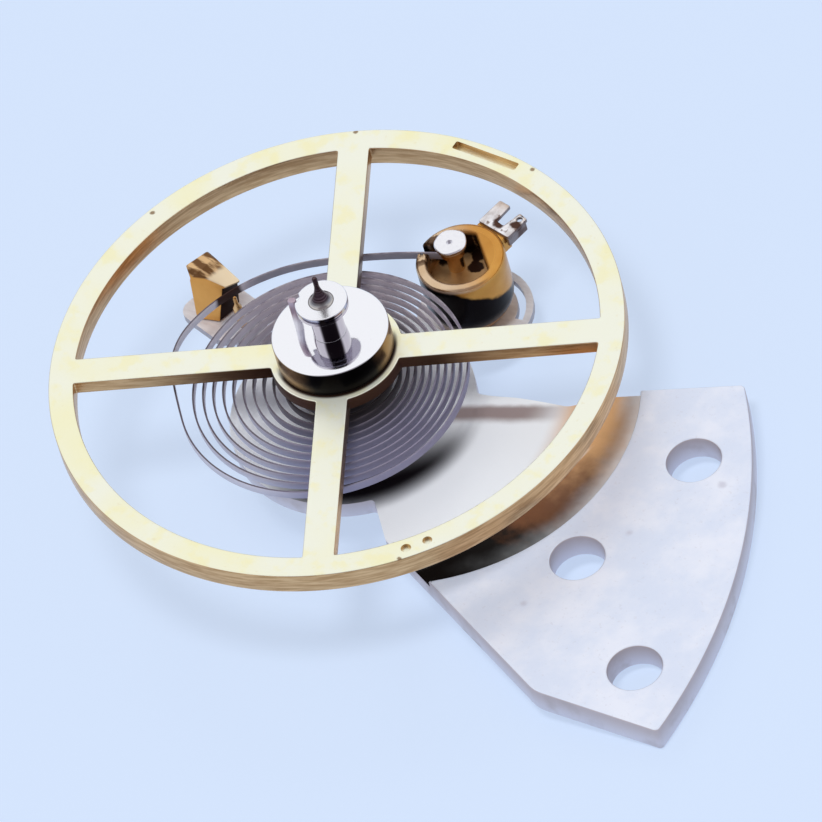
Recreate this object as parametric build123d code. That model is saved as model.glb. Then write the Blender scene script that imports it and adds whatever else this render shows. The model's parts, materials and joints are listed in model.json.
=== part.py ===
from build123d import *
import math
import os

# A complete watch balance with its cock, shock setting, regulator and hairspring stud, wheel side up.
# The origin is where the balance staff's axis meets the flat outer face of the shock block.
# +Z runs along the staff towards the rollers, and +X runs from the staff towards the cock's foot.
# The drive side is the side of the rollers, which faces up.
# All lengths are in millimetres and all angles in degrees.

# Clearances that every fit is made from
press_gap = 0.005
turning_gap = 0.02
axial_gap = 0.02
cut_overrun = 0.2

# Cock, as a flat plate with a round end about the staff and a fan-shaped foot
cock_outer_z = 0.78
foot_thickness = 0.50
relief_depth = 0.15
cock_end_radius = 2.15
cock_bore_radius = 0.75
relief_radius = 3.81
relief_centre_x = 1.24
relief_centre_y = 0.30
movement_radius = 10.95
movement_centre_x = -2.13
movement_centre_y = -4.14
foot_side_y = 4.15
foot_heel_x = 6.62
neck_left_x = 2.14
neck_left_y = 2.28
neck_root_share = 0.88
neck_root_angle = -57.2
foot_rear_corner_y = 3.15
foot_rear_start_x = 4.00
foot_rear_start_y = 1.98
shoulder_x = 3.46
shoulder_y = 1.52
shoulder_root_angle = 32.5
shoulder_bow = 0.07
foot_corner_radius = 0.12
foot_heel_radius = 0.60
cock_edge_break = 0.04
cock_hole_radius = 0.475
screw_hole_x = 5.51
screw_hole_y = -1.37
rear_hole_x = 6.21
rear_hole_y = 1.28
front_hole_x = 7.72
front_hole_y = -3.03

# Balance wheel
wheel_rise = 1.52
wheel_radius = 5.00
rim_width = 0.43
rim_height = 0.41
spoke_width = 0.55
spoke_thickness = 0.25
spoke_count = 4
spoke_angle = 29.0
hub_radius = 1.15
wheel_bore_radius = 0.40
rim_edge_break = 0.025
spoke_root_radius = 0.04
poising_slot_length = 1.30
poising_slot_width = 0.17
poising_slot_depth = 0.12
poising_slot_angle = 89.7
poising_dimple_radius = 0.09
poising_dimple_depth = 0.06
poising_dimple_angles = (-42.6, -38.0)

# Balance staff
upper_pivot_rise = 1.90
pivot_radius = 0.045
pivot_length = 0.22
pivot_cone_radius = 0.19
roller_seat_radius = 0.21
staff_flange_radius = 0.62
staff_flange_thickness = 0.17
collet_seat_radius = 0.26
staff_body_radius = 0.22
lower_cone_height = 0.30

# Double roller and impulse jewel
roller_radius = 1.02
roller_thickness = 0.51
roller_edge_break = 0.03
roller_neck_radius = 0.28
roller_neck_flare = 0.05
safety_roller_rise = 1.32
safety_roller_radius = 0.457
safety_roller_thickness = 0.17
crescent_radius = 0.15
impulse_angle = 197.0
impulse_distance = 0.55
impulse_radius = 0.085
impulse_rise = 1.26

# Hairspring and collet
coil_count = 13
coil_strip_thickness = 0.032
coil_strip_height = 0.165
coil_first_radius = 0.60
coil_pitch_narrow = 0.130
coil_pitch_wide = 0.175
coil_last_radius = 2.85
coil_narrow_side_angle = 45.0
spring_drop = 0.60
outer_bend_radii = (14.7, 1.50, 2.89, 8.7)
outer_bend_turns = (4.2, 47.8, 47.9, 16.4)
collet_radius = 0.55
collet_height = 0.42
collet_slit = 0.08

# Shock block with its setting, jewels and spring
block_flange_radius = 1.15
block_flange_thickness = 0.30
block_neck_radius = 0.95
block_rise_above_arm = 0.10
block_wall = 0.42
block_cone_height = 0.18
block_mouth_radius = 0.66
block_groove_radius = 0.74
block_groove_height = 0.12
setting_radius = 0.60
setting_height = 0.38
setting_top_hole_radius = 0.31
jewel_radius = 0.41
jewel_thickness = 0.17
jewel_hole_radius = 0.06
jewel_cup_radius = 0.20
jewel_cup_depth = 0.05
cap_jewel_radius = 0.50
cap_jewel_thickness = 0.20
cap_jewel_seat = 0.05
shock_spring_thickness = 0.05
shock_spring_width = 0.09
shock_spring_lobe_radius = 0.20
shock_spring_lug_width = 0.22

# Regulator index with its boot and curb pin
ring_thickness = 0.20
ring_width = 0.42
index_arm_width = 0.62
arm_bend_distance = 0.22
arm_climb_distance = 0.35
index_plate_z = 1.16
index_plate_thickness = 0.14
index_plate_width = 1.05
index_plate_end_distance = 3.97
index_angle = 165.0
boot_angle = 166.5
boot_distance = 3.46
boot_foot_width = 0.66
boot_foot_depth = 0.58
boot_waist_width = 0.86
boot_waist_depth = 0.82
boot_waist_height = 0.70
boot_head_width = 0.47
boot_head_depth = 0.34
boot_height = 0.98
boot_lean = 0.20
boot_skew = 0.16
boot_edge_break = 0.05
boot_post_radius = 0.20
boot_rivet_radius = 0.30
boot_rivet_thickness = 0.10
curb_pin_radius = 0.08
curb_pin_height = 0.86
curb_pin_distance = 2.83
curb_pin_angle = 165.0

# Stud holder with the hairspring stud, its pin and its clip
stud_angle = 80.0
stud_gap = 0.10
stud_radius = 0.78
stud_top_drop = 0.50
stud_drum_height = 0.85
stud_edge_round = 0.08
stud_bowl_radius = 0.58
stud_bowl_depth = 0.45
stud_flat_distance = 0.39
stud_flat_angle = -33.0
stud_slot_width = 0.20
stud_foot_radius = 0.50
stud_stem_radius = 0.22
stud_stem_length = 0.26
stud_neck_width = 0.62
stud_neck_height = 0.34
stud_neck_length = 0.12
stud_pin_radius = 0.15
stud_pin_collar_radius = 0.22
stud_pin_head_radius = 0.29
stud_pin_head_thickness = 0.10
stud_pin_top_drop = 0.29
stud_pin_seat_depth = 0.30
stud_pin_dimple_radius = 0.07
holder_arm_width = 0.66
holder_bend_distance = 0.12
holder_climb_distance = 0.30
holder_plate_z = 0.58
holder_plate_thickness = 0.14
holder_plate_radius = 1.02
holder_strap_width = 0.13
holder_strap_slit = 0.14
holder_strap_angle = 70.0
clip_width = 0.80
clip_length = 0.56
clip_height = 0.24
clip_notch_width = 0.26
clip_notch_depth = 0.32
clip_wall = 0.06

# Heights that follow from the sizes above
arm_thickness = foot_thickness - relief_depth
arm_z = cock_outer_z + arm_thickness
wheel_z = arm_z + wheel_rise
rim_inner_radius = wheel_radius - rim_width
spring_top_z = wheel_z - spring_drop
spring_bottom_z = spring_top_z - coil_strip_height
block_top_z = arm_z + block_rise_above_arm
roller_bottom_z = wheel_z + axial_gap
roller_top_z = roller_bottom_z + roller_thickness
setting_top_z = block_top_z - block_wall - press_gap
setting_bottom_z = setting_top_z - setting_height
cap_jewel_bottom_z = setting_bottom_z + cap_jewel_seat - cap_jewel_thickness
shock_spring_z = cap_jewel_bottom_z - press_gap - shock_spring_thickness
block_groove_z = shock_spring_z - (block_groove_height - shock_spring_thickness) / 2
lower_pivot_z = cap_jewel_bottom_z + cap_jewel_thickness + axial_gap
stud_ring_z = block_flange_thickness + axial_gap
index_ring_z = stud_ring_z + ring_thickness + axial_gap
ring_bore_radius = block_neck_radius + turning_gap
ring_outer_radius = ring_bore_radius + ring_width
index_bend_radius = cock_end_radius + arm_bend_distance
holder_bend_radius = ring_outer_radius + holder_bend_distance
stud_distance = cock_end_radius + stud_gap + stud_radius
stud_foot_z = holder_plate_z + holder_plate_thickness + axial_gap
stud_top_z = wheel_z - stud_top_drop
stud_drum_z = stud_top_z - stud_drum_height
stud_bowl_z = stud_top_z - stud_bowl_depth
stud_pin_top_z = wheel_z - stud_pin_top_drop
stud_pin_bottom_z = stud_bowl_z - stud_pin_seat_depth
clip_inner_distance = stud_distance + stud_radius + axial_gap
stud_neck_distance = clip_inner_distance + stud_neck_length


def polar(radius, angle):
    """Point at a radius and an angle in degrees about the origin."""
    return (radius * math.cos(math.radians(angle)), radius * math.sin(math.radians(angle)))


def ring(outer, inner, bottom, height):
    """Flat ring about the Z axis."""
    return Pos(0, 0, bottom) * extrude(Circle(outer) - Circle(inner), height)


def disc(radius, bottom, height, x=0, y=0):
    """Round disc that stands on the height bottom."""
    return Pos(x, y, bottom) * extrude(Circle(radius), height)


def turned(points):
    """Solid of revolution about the Z axis, from a closed profile of (radius, height) points."""
    profile = make_face(Polyline(*[(r, 0, z) for r, z in points], close=True))
    return revolve(profile, Axis.Z)


def block_at(length, width, height, radius, angle, bottom):
    """Box with its length along the radius, centred at a polar place."""
    x, y = polar(radius, angle)
    box = Box(length, width, height, align=(Align.CENTER, Align.CENTER, Align.MIN))
    return Pos(x, y, bottom) * Rot(0, 0, angle) * box


def cock_outline():
    """Face of the cock seen from the wheel: the fan of foot and arm joined to the round end."""
    corner_front = (
        movement_centre_x
        + math.sqrt(movement_radius**2 - (foot_side_y + movement_centre_y) ** 2),
        -foot_side_y,
    )
    corner_rear = (
        movement_centre_x
        + math.sqrt(movement_radius**2 - (foot_rear_corner_y - movement_centre_y) ** 2),
        foot_rear_corner_y,
    )
    front_turn = math.atan2(corner_front[1] - movement_centre_y, corner_front[0] - movement_centre_x)
    rear_turn = math.atan2(corner_rear[1] - movement_centre_y, corner_rear[0] - movement_centre_x)
    middle_turn = (front_turn + rear_turn) / 2
    arc_middle = (
        movement_centre_x + movement_radius * math.cos(middle_turn),
        movement_centre_y + movement_radius * math.sin(middle_turn),
    )
    neck_root = polar(neck_root_share * cock_end_radius, neck_root_angle)
    shoulder_root = polar(neck_root_share * cock_end_radius, shoulder_root_angle)
    shoulder_middle = (
        (shoulder_x + shoulder_root[0]) / 2,
        (shoulder_y + shoulder_root[1]) / 2 + shoulder_bow,
    )
    edges = [
        Line((0, 0), neck_root),
        Line(neck_root, (neck_left_x, -neck_left_y)),
        Line((neck_left_x, -neck_left_y), (foot_heel_x, -foot_side_y)),
        Line((foot_heel_x, -foot_side_y), corner_front),
        ThreePointArc(corner_front, arc_middle, corner_rear),
        Line(corner_rear, (foot_rear_start_x, foot_rear_start_y)),
        Line((foot_rear_start_x, foot_rear_start_y), (shoulder_x, shoulder_y)),
        ThreePointArc((shoulder_x, shoulder_y), shoulder_middle, shoulder_root),
        Line(shoulder_root, (0, 0)),
    ]
    fan = make_face(edges)
    shoulder_line = shoulder_y + shoulder_bow
    middle_x = (foot_heel_x + corner_front[0]) / 2
    corners = [v for v in fan.vertices() if v.X > middle_x or v.Y > shoulder_line]
    fan = fillet(corners, foot_corner_radius)
    heel = fan.vertices().sort_by_distance((foot_heel_x, -foot_side_y))[0]
    return fillet(heel, foot_heel_radius) + Circle(cock_end_radius)


def balance_cock():
    """Plate of the cock: its arm lies lower than the foot's seat, and three holes pass through the foot."""
    plate = Pos(0, 0, cock_outer_z) * extrude(cock_outline(), foot_thickness)
    rim = plate.faces().sort_by(Axis.Z)[0].outer_wire().edges()
    plate = chamfer(rim, cock_edge_break)
    plate -= disc(relief_radius, arm_z, relief_depth + cut_overrun, relief_centre_x, relief_centre_y)
    bottom = cock_outer_z - cut_overrun
    height = foot_thickness + 2 * cut_overrun
    plate -= disc(cock_bore_radius, bottom, height)
    for x, y in (
        (screw_hole_x, screw_hole_y),
        (rear_hole_x, rear_hole_y),
        (front_hole_x, front_hole_y),
    ):
        plate -= disc(cock_hole_radius, bottom, height, x, y)
    return plate


def balance_wheel():
    """Rim, spokes and hub in one piece, flush on top, with a poising slot and two drill marks."""
    rim = ring(wheel_radius, rim_inner_radius, wheel_z - rim_height, rim_height)
    spoke_z = wheel_z - spoke_thickness
    middle_radius = (hub_radius + rim_inner_radius) / 2
    spoke_length = rim_inner_radius - hub_radius + rim_width
    wheel = rim + disc(hub_radius, spoke_z, spoke_thickness)
    for i in range(spoke_count):
        angle = spoke_angle + i * 360 / spoke_count
        wheel += block_at(spoke_length, spoke_width, spoke_thickness, middle_radius, angle, spoke_z)
    wheel = fillet(wheel.edges().filter_by(Axis.Z), spoke_root_radius)
    top = wheel.faces().filter_by(Axis.Z).sort_by(Axis.Z)[-1]
    windows = [e for wire in top.inner_wires() for e in wire.edges()]
    wheel = chamfer(windows + top.outer_wire().edges(), rim_edge_break)
    wheel -= disc(wheel_bore_radius, spoke_z - cut_overrun, spoke_thickness + 2 * cut_overrun)
    slot_radius = wheel_radius - rim_width / 2
    wheel -= block_at(
        poising_slot_width,
        poising_slot_length,
        poising_slot_depth + cut_overrun,
        slot_radius,
        poising_slot_angle,
        wheel_z - poising_slot_depth,
    )
    for angle in poising_dimple_angles:
        x, y = polar(slot_radius, angle)
        height = poising_dimple_depth + cut_overrun
        wheel -= disc(poising_dimple_radius, wheel_z - poising_dimple_depth, height, x, y)
    return wheel


def balance_staff():
    """Turned staff: two fine pivots, the roller seat, the hub seat on its flange, and the collet seat."""
    flange_top = wheel_z - spoke_thickness - press_gap
    flange_bottom = flange_top - staff_flange_thickness
    collet_bottom = flange_bottom - collet_height - axial_gap
    upper_end = wheel_z + upper_pivot_rise
    lower_shoulder = lower_pivot_z + pivot_length
    points = [
        (0, lower_pivot_z),
        (pivot_radius, lower_pivot_z),
        (pivot_radius, lower_shoulder),
        (staff_body_radius, lower_shoulder + lower_cone_height),
        (staff_body_radius, collet_bottom),
        (collet_seat_radius, collet_bottom),
        (collet_seat_radius, flange_bottom),
        (staff_flange_radius, flange_bottom),
        (staff_flange_radius, flange_top),
        (wheel_bore_radius - press_gap, flange_top),
        (wheel_bore_radius - press_gap, wheel_z),
        (roller_seat_radius, wheel_z),
        (roller_seat_radius, wheel_z + safety_roller_rise),
        (pivot_cone_radius, wheel_z + safety_roller_rise),
        (pivot_cone_radius / 2, upper_end - 2 * pivot_length),
        (pivot_radius, upper_end - pivot_length),
        (pivot_radius, upper_end),
        (0, upper_end),
    ]
    return turned(points)


def impulse_roller():
    """Thick polished disc next to the wheel, bored for the staff and for the impulse jewel."""
    roller = ring(roller_radius, roller_seat_radius + press_gap, roller_bottom_z, roller_thickness)
    circles = roller.edges().filter_by(GeomType.CIRCLE)
    outer = [e for e in circles if e.radius > roller_seat_radius + cut_overrun]
    roller = chamfer(outer, roller_edge_break)
    x, y = polar(impulse_distance, impulse_angle)
    height = roller_thickness + 2 * cut_overrun
    return roller - disc(impulse_radius + press_gap, roller_bottom_z - cut_overrun, height, x, y)


def safety_roller():
    """Small disc on its flared neck, with the crescent that lets the guard pass over the impulse jewel."""
    neck_bottom = roller_top_z + press_gap
    disc_top = wheel_z + safety_roller_rise
    disc_bottom = disc_top - safety_roller_thickness
    bore = roller_seat_radius + press_gap
    points = [
        (bore, neck_bottom),
        (roller_neck_radius + roller_neck_flare, neck_bottom),
        (roller_neck_radius, neck_bottom + roller_neck_flare),
        (roller_neck_radius, disc_bottom - roller_neck_flare),
        (roller_neck_radius + roller_neck_flare, disc_bottom),
        (safety_roller_radius, disc_bottom),
        (safety_roller_radius, disc_top),
        (bore, disc_top),
    ]
    x, y = polar(impulse_distance, impulse_angle)
    height = safety_roller_thickness + 2 * cut_overrun
    return turned(points) - disc(crescent_radius, disc_bottom - cut_overrun, height, x, y)


def impulse_jewel():
    """Round pin with a flat on its outer side, set in the large roller."""
    x, y = polar(impulse_distance, impulse_angle)
    pin = disc(impulse_radius, roller_bottom_z, wheel_z + impulse_rise - roller_bottom_z)
    flat = Pos(3 * impulse_radius / 2, 0, roller_top_z) * Box(
        2 * impulse_radius,
        3 * impulse_radius,
        impulse_rise,
        align=(Align.CENTER, Align.CENTER, Align.MIN),
    )
    return Pos(x, y, 0) * Rot(0, 0, impulse_angle) * (pin - flat)


def collet():
    """Split ring that grips the staff and holds the spring's inner end."""
    top = wheel_z - spoke_thickness - press_gap - staff_flange_thickness - press_gap
    body = ring(collet_radius, collet_seat_radius + press_gap, top - collet_height, collet_height)
    slit = block_at(
        collet_radius,
        collet_slit,
        collet_height + 2 * cut_overrun,
        collet_seat_radius + collet_radius / 2,
        coil_narrow_side_angle + 180,
        top - collet_height - cut_overrun,
    )
    return body - slit


def coil_junctions():
    """Signed places where the half turns meet, on a line through the staff, from the inner end outwards."""
    places = []
    for k in range(coil_count):
        places.append(coil_first_radius + k * coil_pitch_narrow)
        places.append(-(coil_first_radius + (k + 0.5) * coil_pitch_wide))
    places[-1] = -coil_last_radius
    return places


def spring_edges():
    """Half circles that wind outwards clockwise, then tangent arcs past the boot to the stud."""
    frame = Plane(origin=(0, 0, 0), x_dir=polar(1, coil_narrow_side_angle) + (0,), z_dir=(0, 0, 1))
    edges = []
    places = coil_junctions()
    for start, end in zip(places, places[1:]):
        centre = (start + end) / 2
        radius = abs(start - end) / 2
        side = -1 if start > end else 1
        edges.append(ThreePointArc((start, 0), (centre, side * radius), (end, 0)))
    x, y = places[-1], 0
    heading = 90
    for radius, turn in zip(outer_bend_radii, outer_bend_turns):
        centre_x = x + radius * math.sin(math.radians(heading))
        centre_y = y - radius * math.cos(math.radians(heading))
        points = []
        for share in (0, 0.5, 1):
            angle = math.radians(heading + 90 - share * turn)
            points.append((centre_x + radius * math.cos(angle), centre_y + radius * math.sin(angle)))
        edges.append(ThreePointArc(*points))
        x, y = points[-1]
        heading -= turn
    return [frame.from_local_coords(edge) for edge in edges]


def hairspring():
    """Flat strip wound in plan: one unbroken band, swept along tangent arcs."""
    path = Wire(spring_edges())
    start = path.position_at(0)
    tangent = path.tangent_at(0)
    across = Plane(origin=start, x_dir=(0, 0, 1), z_dir=tangent)
    section = across * Rectangle(coil_strip_height, coil_strip_thickness)
    strip = sweep(section, path=path)
    return Pos(0, 0, (spring_top_z + spring_bottom_z) / 2) * strip


def least_spring_gap():
    """Least clear gap between turns, from points of the path that lie over half an inner turn apart."""
    path = Wire(spring_edges())
    step = coil_pitch_narrow / 2
    count = math.ceil(path.length / step)
    places = [path.position_at(i / count) for i in range(count + 1)]
    points = [(place.X, place.Y) for place in places]
    apart = math.ceil(math.pi * coil_first_radius / step)
    least = min(
        math.dist(points[i], points[k])
        for i in range(len(points) - apart)
        for k in range(i + apart, len(points))
    )
    return least - coil_strip_thickness


def shock_block():
    """Turned block pressed through the cock, with a conical seat and a groove for the lyre spring."""
    seat_top = block_top_z - block_wall
    seat_bottom = seat_top - block_cone_height
    top_hole = setting_top_hole_radius + turning_gap
    cone_top = setting_radius - block_cone_height + press_gap
    wide = setting_radius + turning_gap
    points = [
        (top_hole, block_top_z),
        (cock_bore_radius - press_gap, block_top_z),
        (cock_bore_radius - press_gap, cock_outer_z - press_gap),
        (block_neck_radius, cock_outer_z - press_gap),
        (block_neck_radius, block_flange_thickness),
        (block_flange_radius, block_flange_thickness),
        (block_flange_radius, 0),
        (block_mouth_radius, 0),
        (block_mouth_radius, block_groove_z),
        (block_groove_radius, block_groove_z),
        (block_groove_radius, block_groove_z + block_groove_height),
        (block_mouth_radius, block_groove_z + block_groove_height),
        (wide, block_groove_z + block_groove_height + axial_gap),
        (wide, seat_bottom),
        (cone_top, seat_top),
        (top_hole, seat_top),
    ]
    return turned(points)


def jewel_setting():
    """Turned setting with a conical shoulder, which holds the pierced jewel and carries the cap jewel."""
    cone_top = setting_radius - block_cone_height
    jewel_bottom = setting_bottom_z + cap_jewel_seat + axial_gap
    points = [
        (setting_top_hole_radius, setting_top_z),
        (cone_top, setting_top_z),
        (setting_radius, setting_top_z - block_cone_height),
        (setting_radius, setting_bottom_z),
        (cap_jewel_radius + press_gap, setting_bottom_z),
        (cap_jewel_radius + press_gap, setting_bottom_z + cap_jewel_seat),
        (jewel_radius + press_gap, setting_bottom_z + cap_jewel_seat),
        (jewel_radius + press_gap, jewel_bottom + jewel_thickness + press_gap),
        (setting_top_hole_radius, jewel_bottom + jewel_thickness + press_gap),
    ]
    return turned(points)


def hole_jewel():
    """Pierced jewel with an oil cup on its outer side."""
    bottom = setting_bottom_z + cap_jewel_seat + axial_gap
    top = bottom + jewel_thickness
    points = [
        (jewel_hole_radius, bottom),
        (jewel_radius, bottom),
        (jewel_radius, top),
        (jewel_cup_radius, top),
        (jewel_hole_radius, top - jewel_cup_depth),
    ]
    return turned(points)


def cap_jewel():
    """Flat round jewel that takes the end of the staff."""
    return disc(cap_jewel_radius, cap_jewel_bottom_z, cap_jewel_thickness - press_gap)


def shock_spring():
    """Flat lyre spring: two lobes press on the cap jewel, and two lugs sit in the block's groove."""
    outer = setting_radius
    half = shock_spring_width / 2
    band = Circle(outer) - Circle(outer - shock_spring_width)
    lobe_distance = outer - half - shock_spring_lobe_radius
    lobe = Circle(shock_spring_lobe_radius + half) - Circle(shock_spring_lobe_radius - half)
    shape = band + Pos(lobe_distance, 0) * lobe + Pos(-lobe_distance, 0) * lobe
    lug_length = block_groove_radius - turning_gap - outer + half
    lug_middle = block_groove_radius - turning_gap - lug_length / 2
    for side in (-1, 1):
        shape += Pos(0, side * lug_middle) * Rectangle(shock_spring_lug_width, lug_length)
    return Pos(0, 0, shock_spring_z) * extrude(shape, shock_spring_thickness)


def cranked_arm(ring_z, plate_z, plate_thickness, width, bend_radius, climb_distance, end_distance):
    """Arm that leaves its ring flat, climbs past the bend radius, and runs out flat as a plate."""
    inner = ring_outer_radius - ring_width / 2
    climb_end = bend_radius + climb_distance
    lead = ring_thickness * climb_distance / (plate_z - ring_z) / 2
    profile = make_face(
        Polyline(
            (inner, 0, ring_z),
            (bend_radius, 0, ring_z),
            (climb_end, 0, plate_z),
            (end_distance, 0, plate_z),
            (end_distance, 0, plate_z + plate_thickness),
            (climb_end - lead, 0, plate_z + plate_thickness),
            (bend_radius - lead, 0, ring_z + ring_thickness),
            (inner, 0, ring_z + ring_thickness),
            close=True,
        )
    )
    return extrude(profile, width / 2, both=True)


def regulator_index():
    """Ring that turns on the shock block, and the arm whose plate carries the boot and the curb pin."""
    plate_start = index_bend_radius + arm_climb_distance
    body = cranked_arm(
        index_ring_z,
        index_plate_z,
        index_plate_thickness,
        index_arm_width,
        index_bend_radius,
        arm_climb_distance,
        boot_distance,
    )
    plate_length = index_plate_end_distance - plate_start
    outline = RectangleRounded(plate_length, index_plate_width, index_plate_width / 4)
    plate = Pos(plate_start + plate_length / 2, 0, index_plate_z) * extrude(outline, index_plate_thickness)
    body = Rot(0, 0, index_angle) * (body + plate)
    bottom = index_plate_z - cut_overrun
    height = index_plate_thickness + 2 * cut_overrun
    x, y = polar(boot_distance, boot_angle)
    body -= disc(boot_post_radius + turning_gap, bottom, height, x, y)
    x, y = polar(curb_pin_distance, curb_pin_angle)
    body -= disc(curb_pin_radius + press_gap, bottom, height, x, y)
    return body + ring(ring_outer_radius, ring_bore_radius, index_ring_z, ring_thickness)


def regulator_boot():
    """Faceted boot behind the spring: it widens to a waist, then slopes back to a small skewed head."""
    boot_foot_z = index_plate_z + index_plate_thickness + axial_gap
    foot = Rectangle(boot_foot_depth, boot_foot_width)
    waist = Pos(0, 0, boot_waist_height) * Rectangle(boot_waist_depth, boot_waist_width)
    head = Pos(boot_lean, -boot_skew, boot_height) * Rectangle(boot_head_depth, boot_head_width)
    body = loft([foot, waist], ruled=True) + loft([waist, head], ruled=True)
    upright = [e for e in body.edges() if abs(e.tangent_at(0.5).Z) > abs(e.tangent_at(0.5).X)]
    body = Pos(0, 0, boot_foot_z) * chamfer(upright, boot_edge_break)
    post_bottom = index_plate_z - axial_gap
    body += disc(boot_post_radius, post_bottom, boot_foot_z - post_bottom)
    body += disc(boot_rivet_radius, post_bottom - boot_rivet_thickness, boot_rivet_thickness)
    x, y = polar(boot_distance, boot_angle)
    return Pos(x, y, 0) * Rot(0, 0, boot_angle) * body


def curb_pin():
    """Round pin inside the spring's outer turn, pressed in the index plate."""
    x, y = polar(curb_pin_distance, curb_pin_angle)
    return disc(curb_pin_radius, index_plate_z, curb_pin_height, x, y)


def stud_holder():
    """Ring that turns on the shock block, and an arm whose round plate carries the stud in a strap."""
    body = cranked_arm(
        stud_ring_z,
        holder_plate_z,
        holder_plate_thickness,
        holder_arm_width,
        holder_bend_radius,
        holder_climb_distance,
        stud_distance,
    )
    bottom = holder_plate_z - cut_overrun
    height = holder_plate_thickness + 2 * cut_overrun
    body += disc(holder_plate_radius, holder_plate_z, holder_plate_thickness, stud_distance, 0)
    body -= disc(stud_stem_radius + turning_gap, bottom, height, stud_distance, 0)
    slit_outer = holder_plate_radius - holder_strap_width
    slit_inner = slit_outer - holder_strap_slit
    wedge = make_face(
        Polyline(
            (0, 0),
            polar(2 * holder_plate_radius, -holder_strap_angle),
            (2 * holder_plate_radius, -holder_strap_slit),
            close=True,
        )
    )
    slit = extrude((Circle(slit_outer) - Circle(slit_inner)) & wedge, height)
    body -= Pos(stud_distance, 0, bottom) * slit
    hub = ring(ring_outer_radius, ring_bore_radius, stud_ring_z, ring_thickness)
    return Rot(0, 0, stud_angle) * body + hub


def hairspring_stud():
    """Cup-shaped stud: drum over a tapered foot, bowl with one flat side, slot for the wire, and neck."""
    points = [
        (0, stud_foot_z),
        (stud_foot_radius, stud_foot_z),
        (stud_radius, stud_drum_z),
        (stud_radius, stud_top_z),
        (0, stud_top_z),
    ]
    body = turned(points)
    body = chamfer(body.edges().group_by(Axis.Z)[-1], stud_edge_round)
    body += Pos(0, 0, stud_top_z - stud_edge_round - stud_neck_height) * Box(
        stud_neck_distance - stud_distance,
        stud_neck_width,
        stud_neck_height,
        align=(Align.MIN, Align.CENTER, Align.MIN),
    )
    bowl = Circle(stud_bowl_radius) - Rot(0, 0, stud_flat_angle) * Pos(
        stud_flat_distance + stud_bowl_radius, 0
    ) * Rectangle(2 * stud_bowl_radius, 2 * stud_bowl_radius)
    body -= Pos(0, 0, stud_bowl_z) * extrude(bowl, stud_bowl_depth + cut_overrun)
    body += disc(stud_stem_radius, stud_foot_z - stud_stem_length, stud_stem_length)
    body = Rot(0, 0, stud_angle) * Pos(stud_distance, 0, 0) * body
    end, heading = spring_end()
    slot = Pos(end.X, end.Y, spring_bottom_z - axial_gap) * Rot(0, 0, heading) * Box(
        2 * stud_radius,
        stud_slot_width,
        stud_top_z - spring_bottom_z + cut_overrun,
        align=(Align.MAX, Align.CENTER, Align.MIN),
    )
    hole_depth = stud_bowl_z - stud_pin_bottom_z
    return body - slot - disc(stud_pin_radius + press_gap, stud_pin_bottom_z, hole_depth, end.X, end.Y)


def stud_pin():
    """Headed pin pressed in the stud: the spring's end is fixed under its dimpled head."""
    collar_top = stud_pin_top_z - stud_pin_head_thickness
    collar_bottom = spring_top_z + axial_gap
    bottom = stud_pin_bottom_z + press_gap
    points = [
        (0, bottom),
        (stud_pin_radius, bottom),
        (stud_pin_radius, collar_bottom),
        (stud_pin_collar_radius, collar_bottom),
        (stud_pin_collar_radius, collar_top),
        (stud_pin_head_radius, collar_top),
        (stud_pin_head_radius, stud_pin_top_z),
        (stud_pin_dimple_radius, stud_pin_top_z),
        (0, stud_pin_top_z - stud_pin_dimple_radius),
    ]
    pin = turned(points)
    slot = Pos(0, 0, spring_bottom_z - axial_gap) * Box(
        2 * stud_pin_radius + cut_overrun,
        coil_strip_thickness + 2 * axial_gap,
        coil_strip_height + 2 * axial_gap,
        align=(Align.CENTER, Align.CENTER, Align.MIN),
    )
    end, heading = spring_end()
    return Pos(end.X, end.Y, 0) * (pin - Rot(0, 0, heading) * slot)


def spring_end():
    """Place of the spring's outer end and its heading in degrees."""
    path = Wire(spring_edges())
    end = path.position_at(1)
    tangent = path.tangent_at(1)
    return end, math.degrees(math.atan2(tangent.Y, tangent.X))


def stud_clip():
    """Forked spring clip over the stud's neck, with two tines that point away from the staff."""
    inner = clip_inner_distance
    neck_top = stud_top_z - stud_edge_round
    top = neck_top + clip_wall
    body = Pos(inner, 0, top - clip_height) * Box(
        clip_length,
        clip_width,
        clip_height,
        align=(Align.MIN, Align.CENTER, Align.MIN),
    )
    notch = Pos(inner + clip_length, 0, top - clip_height - cut_overrun) * Box(
        2 * clip_notch_depth,
        clip_notch_width,
        clip_height + 2 * cut_overrun,
        align=(Align.CENTER, Align.CENTER, Align.MIN),
    )
    seat = Pos(inner - cut_overrun, 0, neck_top - stud_neck_height - cut_overrun) * Box(
        stud_neck_length + cut_overrun + press_gap,
        stud_neck_width + 2 * press_gap,
        stud_neck_height + cut_overrun + press_gap,
        align=(Align.MIN, Align.CENTER, Align.MIN),
    )
    body = body - notch - seat
    return Rot(0, 0, stud_angle) * body


makers = {
    "balance_cock": balance_cock,
    "shock_block": shock_block,
    "jewel_setting": jewel_setting,
    "hole_jewel": hole_jewel,
    "cap_jewel": cap_jewel,
    "shock_spring": shock_spring,
    "regulator_index": regulator_index,
    "regulator_boot": regulator_boot,
    "curb_pin": curb_pin,
    "stud_holder": stud_holder,
    "hairspring_stud": hairspring_stud,
    "stud_pin": stud_pin,
    "stud_clip": stud_clip,
    "hairspring": hairspring,
    "collet": collet,
    "balance_wheel": balance_wheel,
    "balance_staff": balance_staff,
    "impulse_roller": impulse_roller,
    "safety_roller": safety_roller,
    "impulse_jewel": impulse_jewel,
}

os.makedirs("parts", exist_ok=True)
for node, make in makers.items():
    export_step(make(), "parts/" + node + ".step")
print("least gap between the hairspring's turns, mm:", round(least_spring_gap(), 4))
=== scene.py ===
import json
import math

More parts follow.
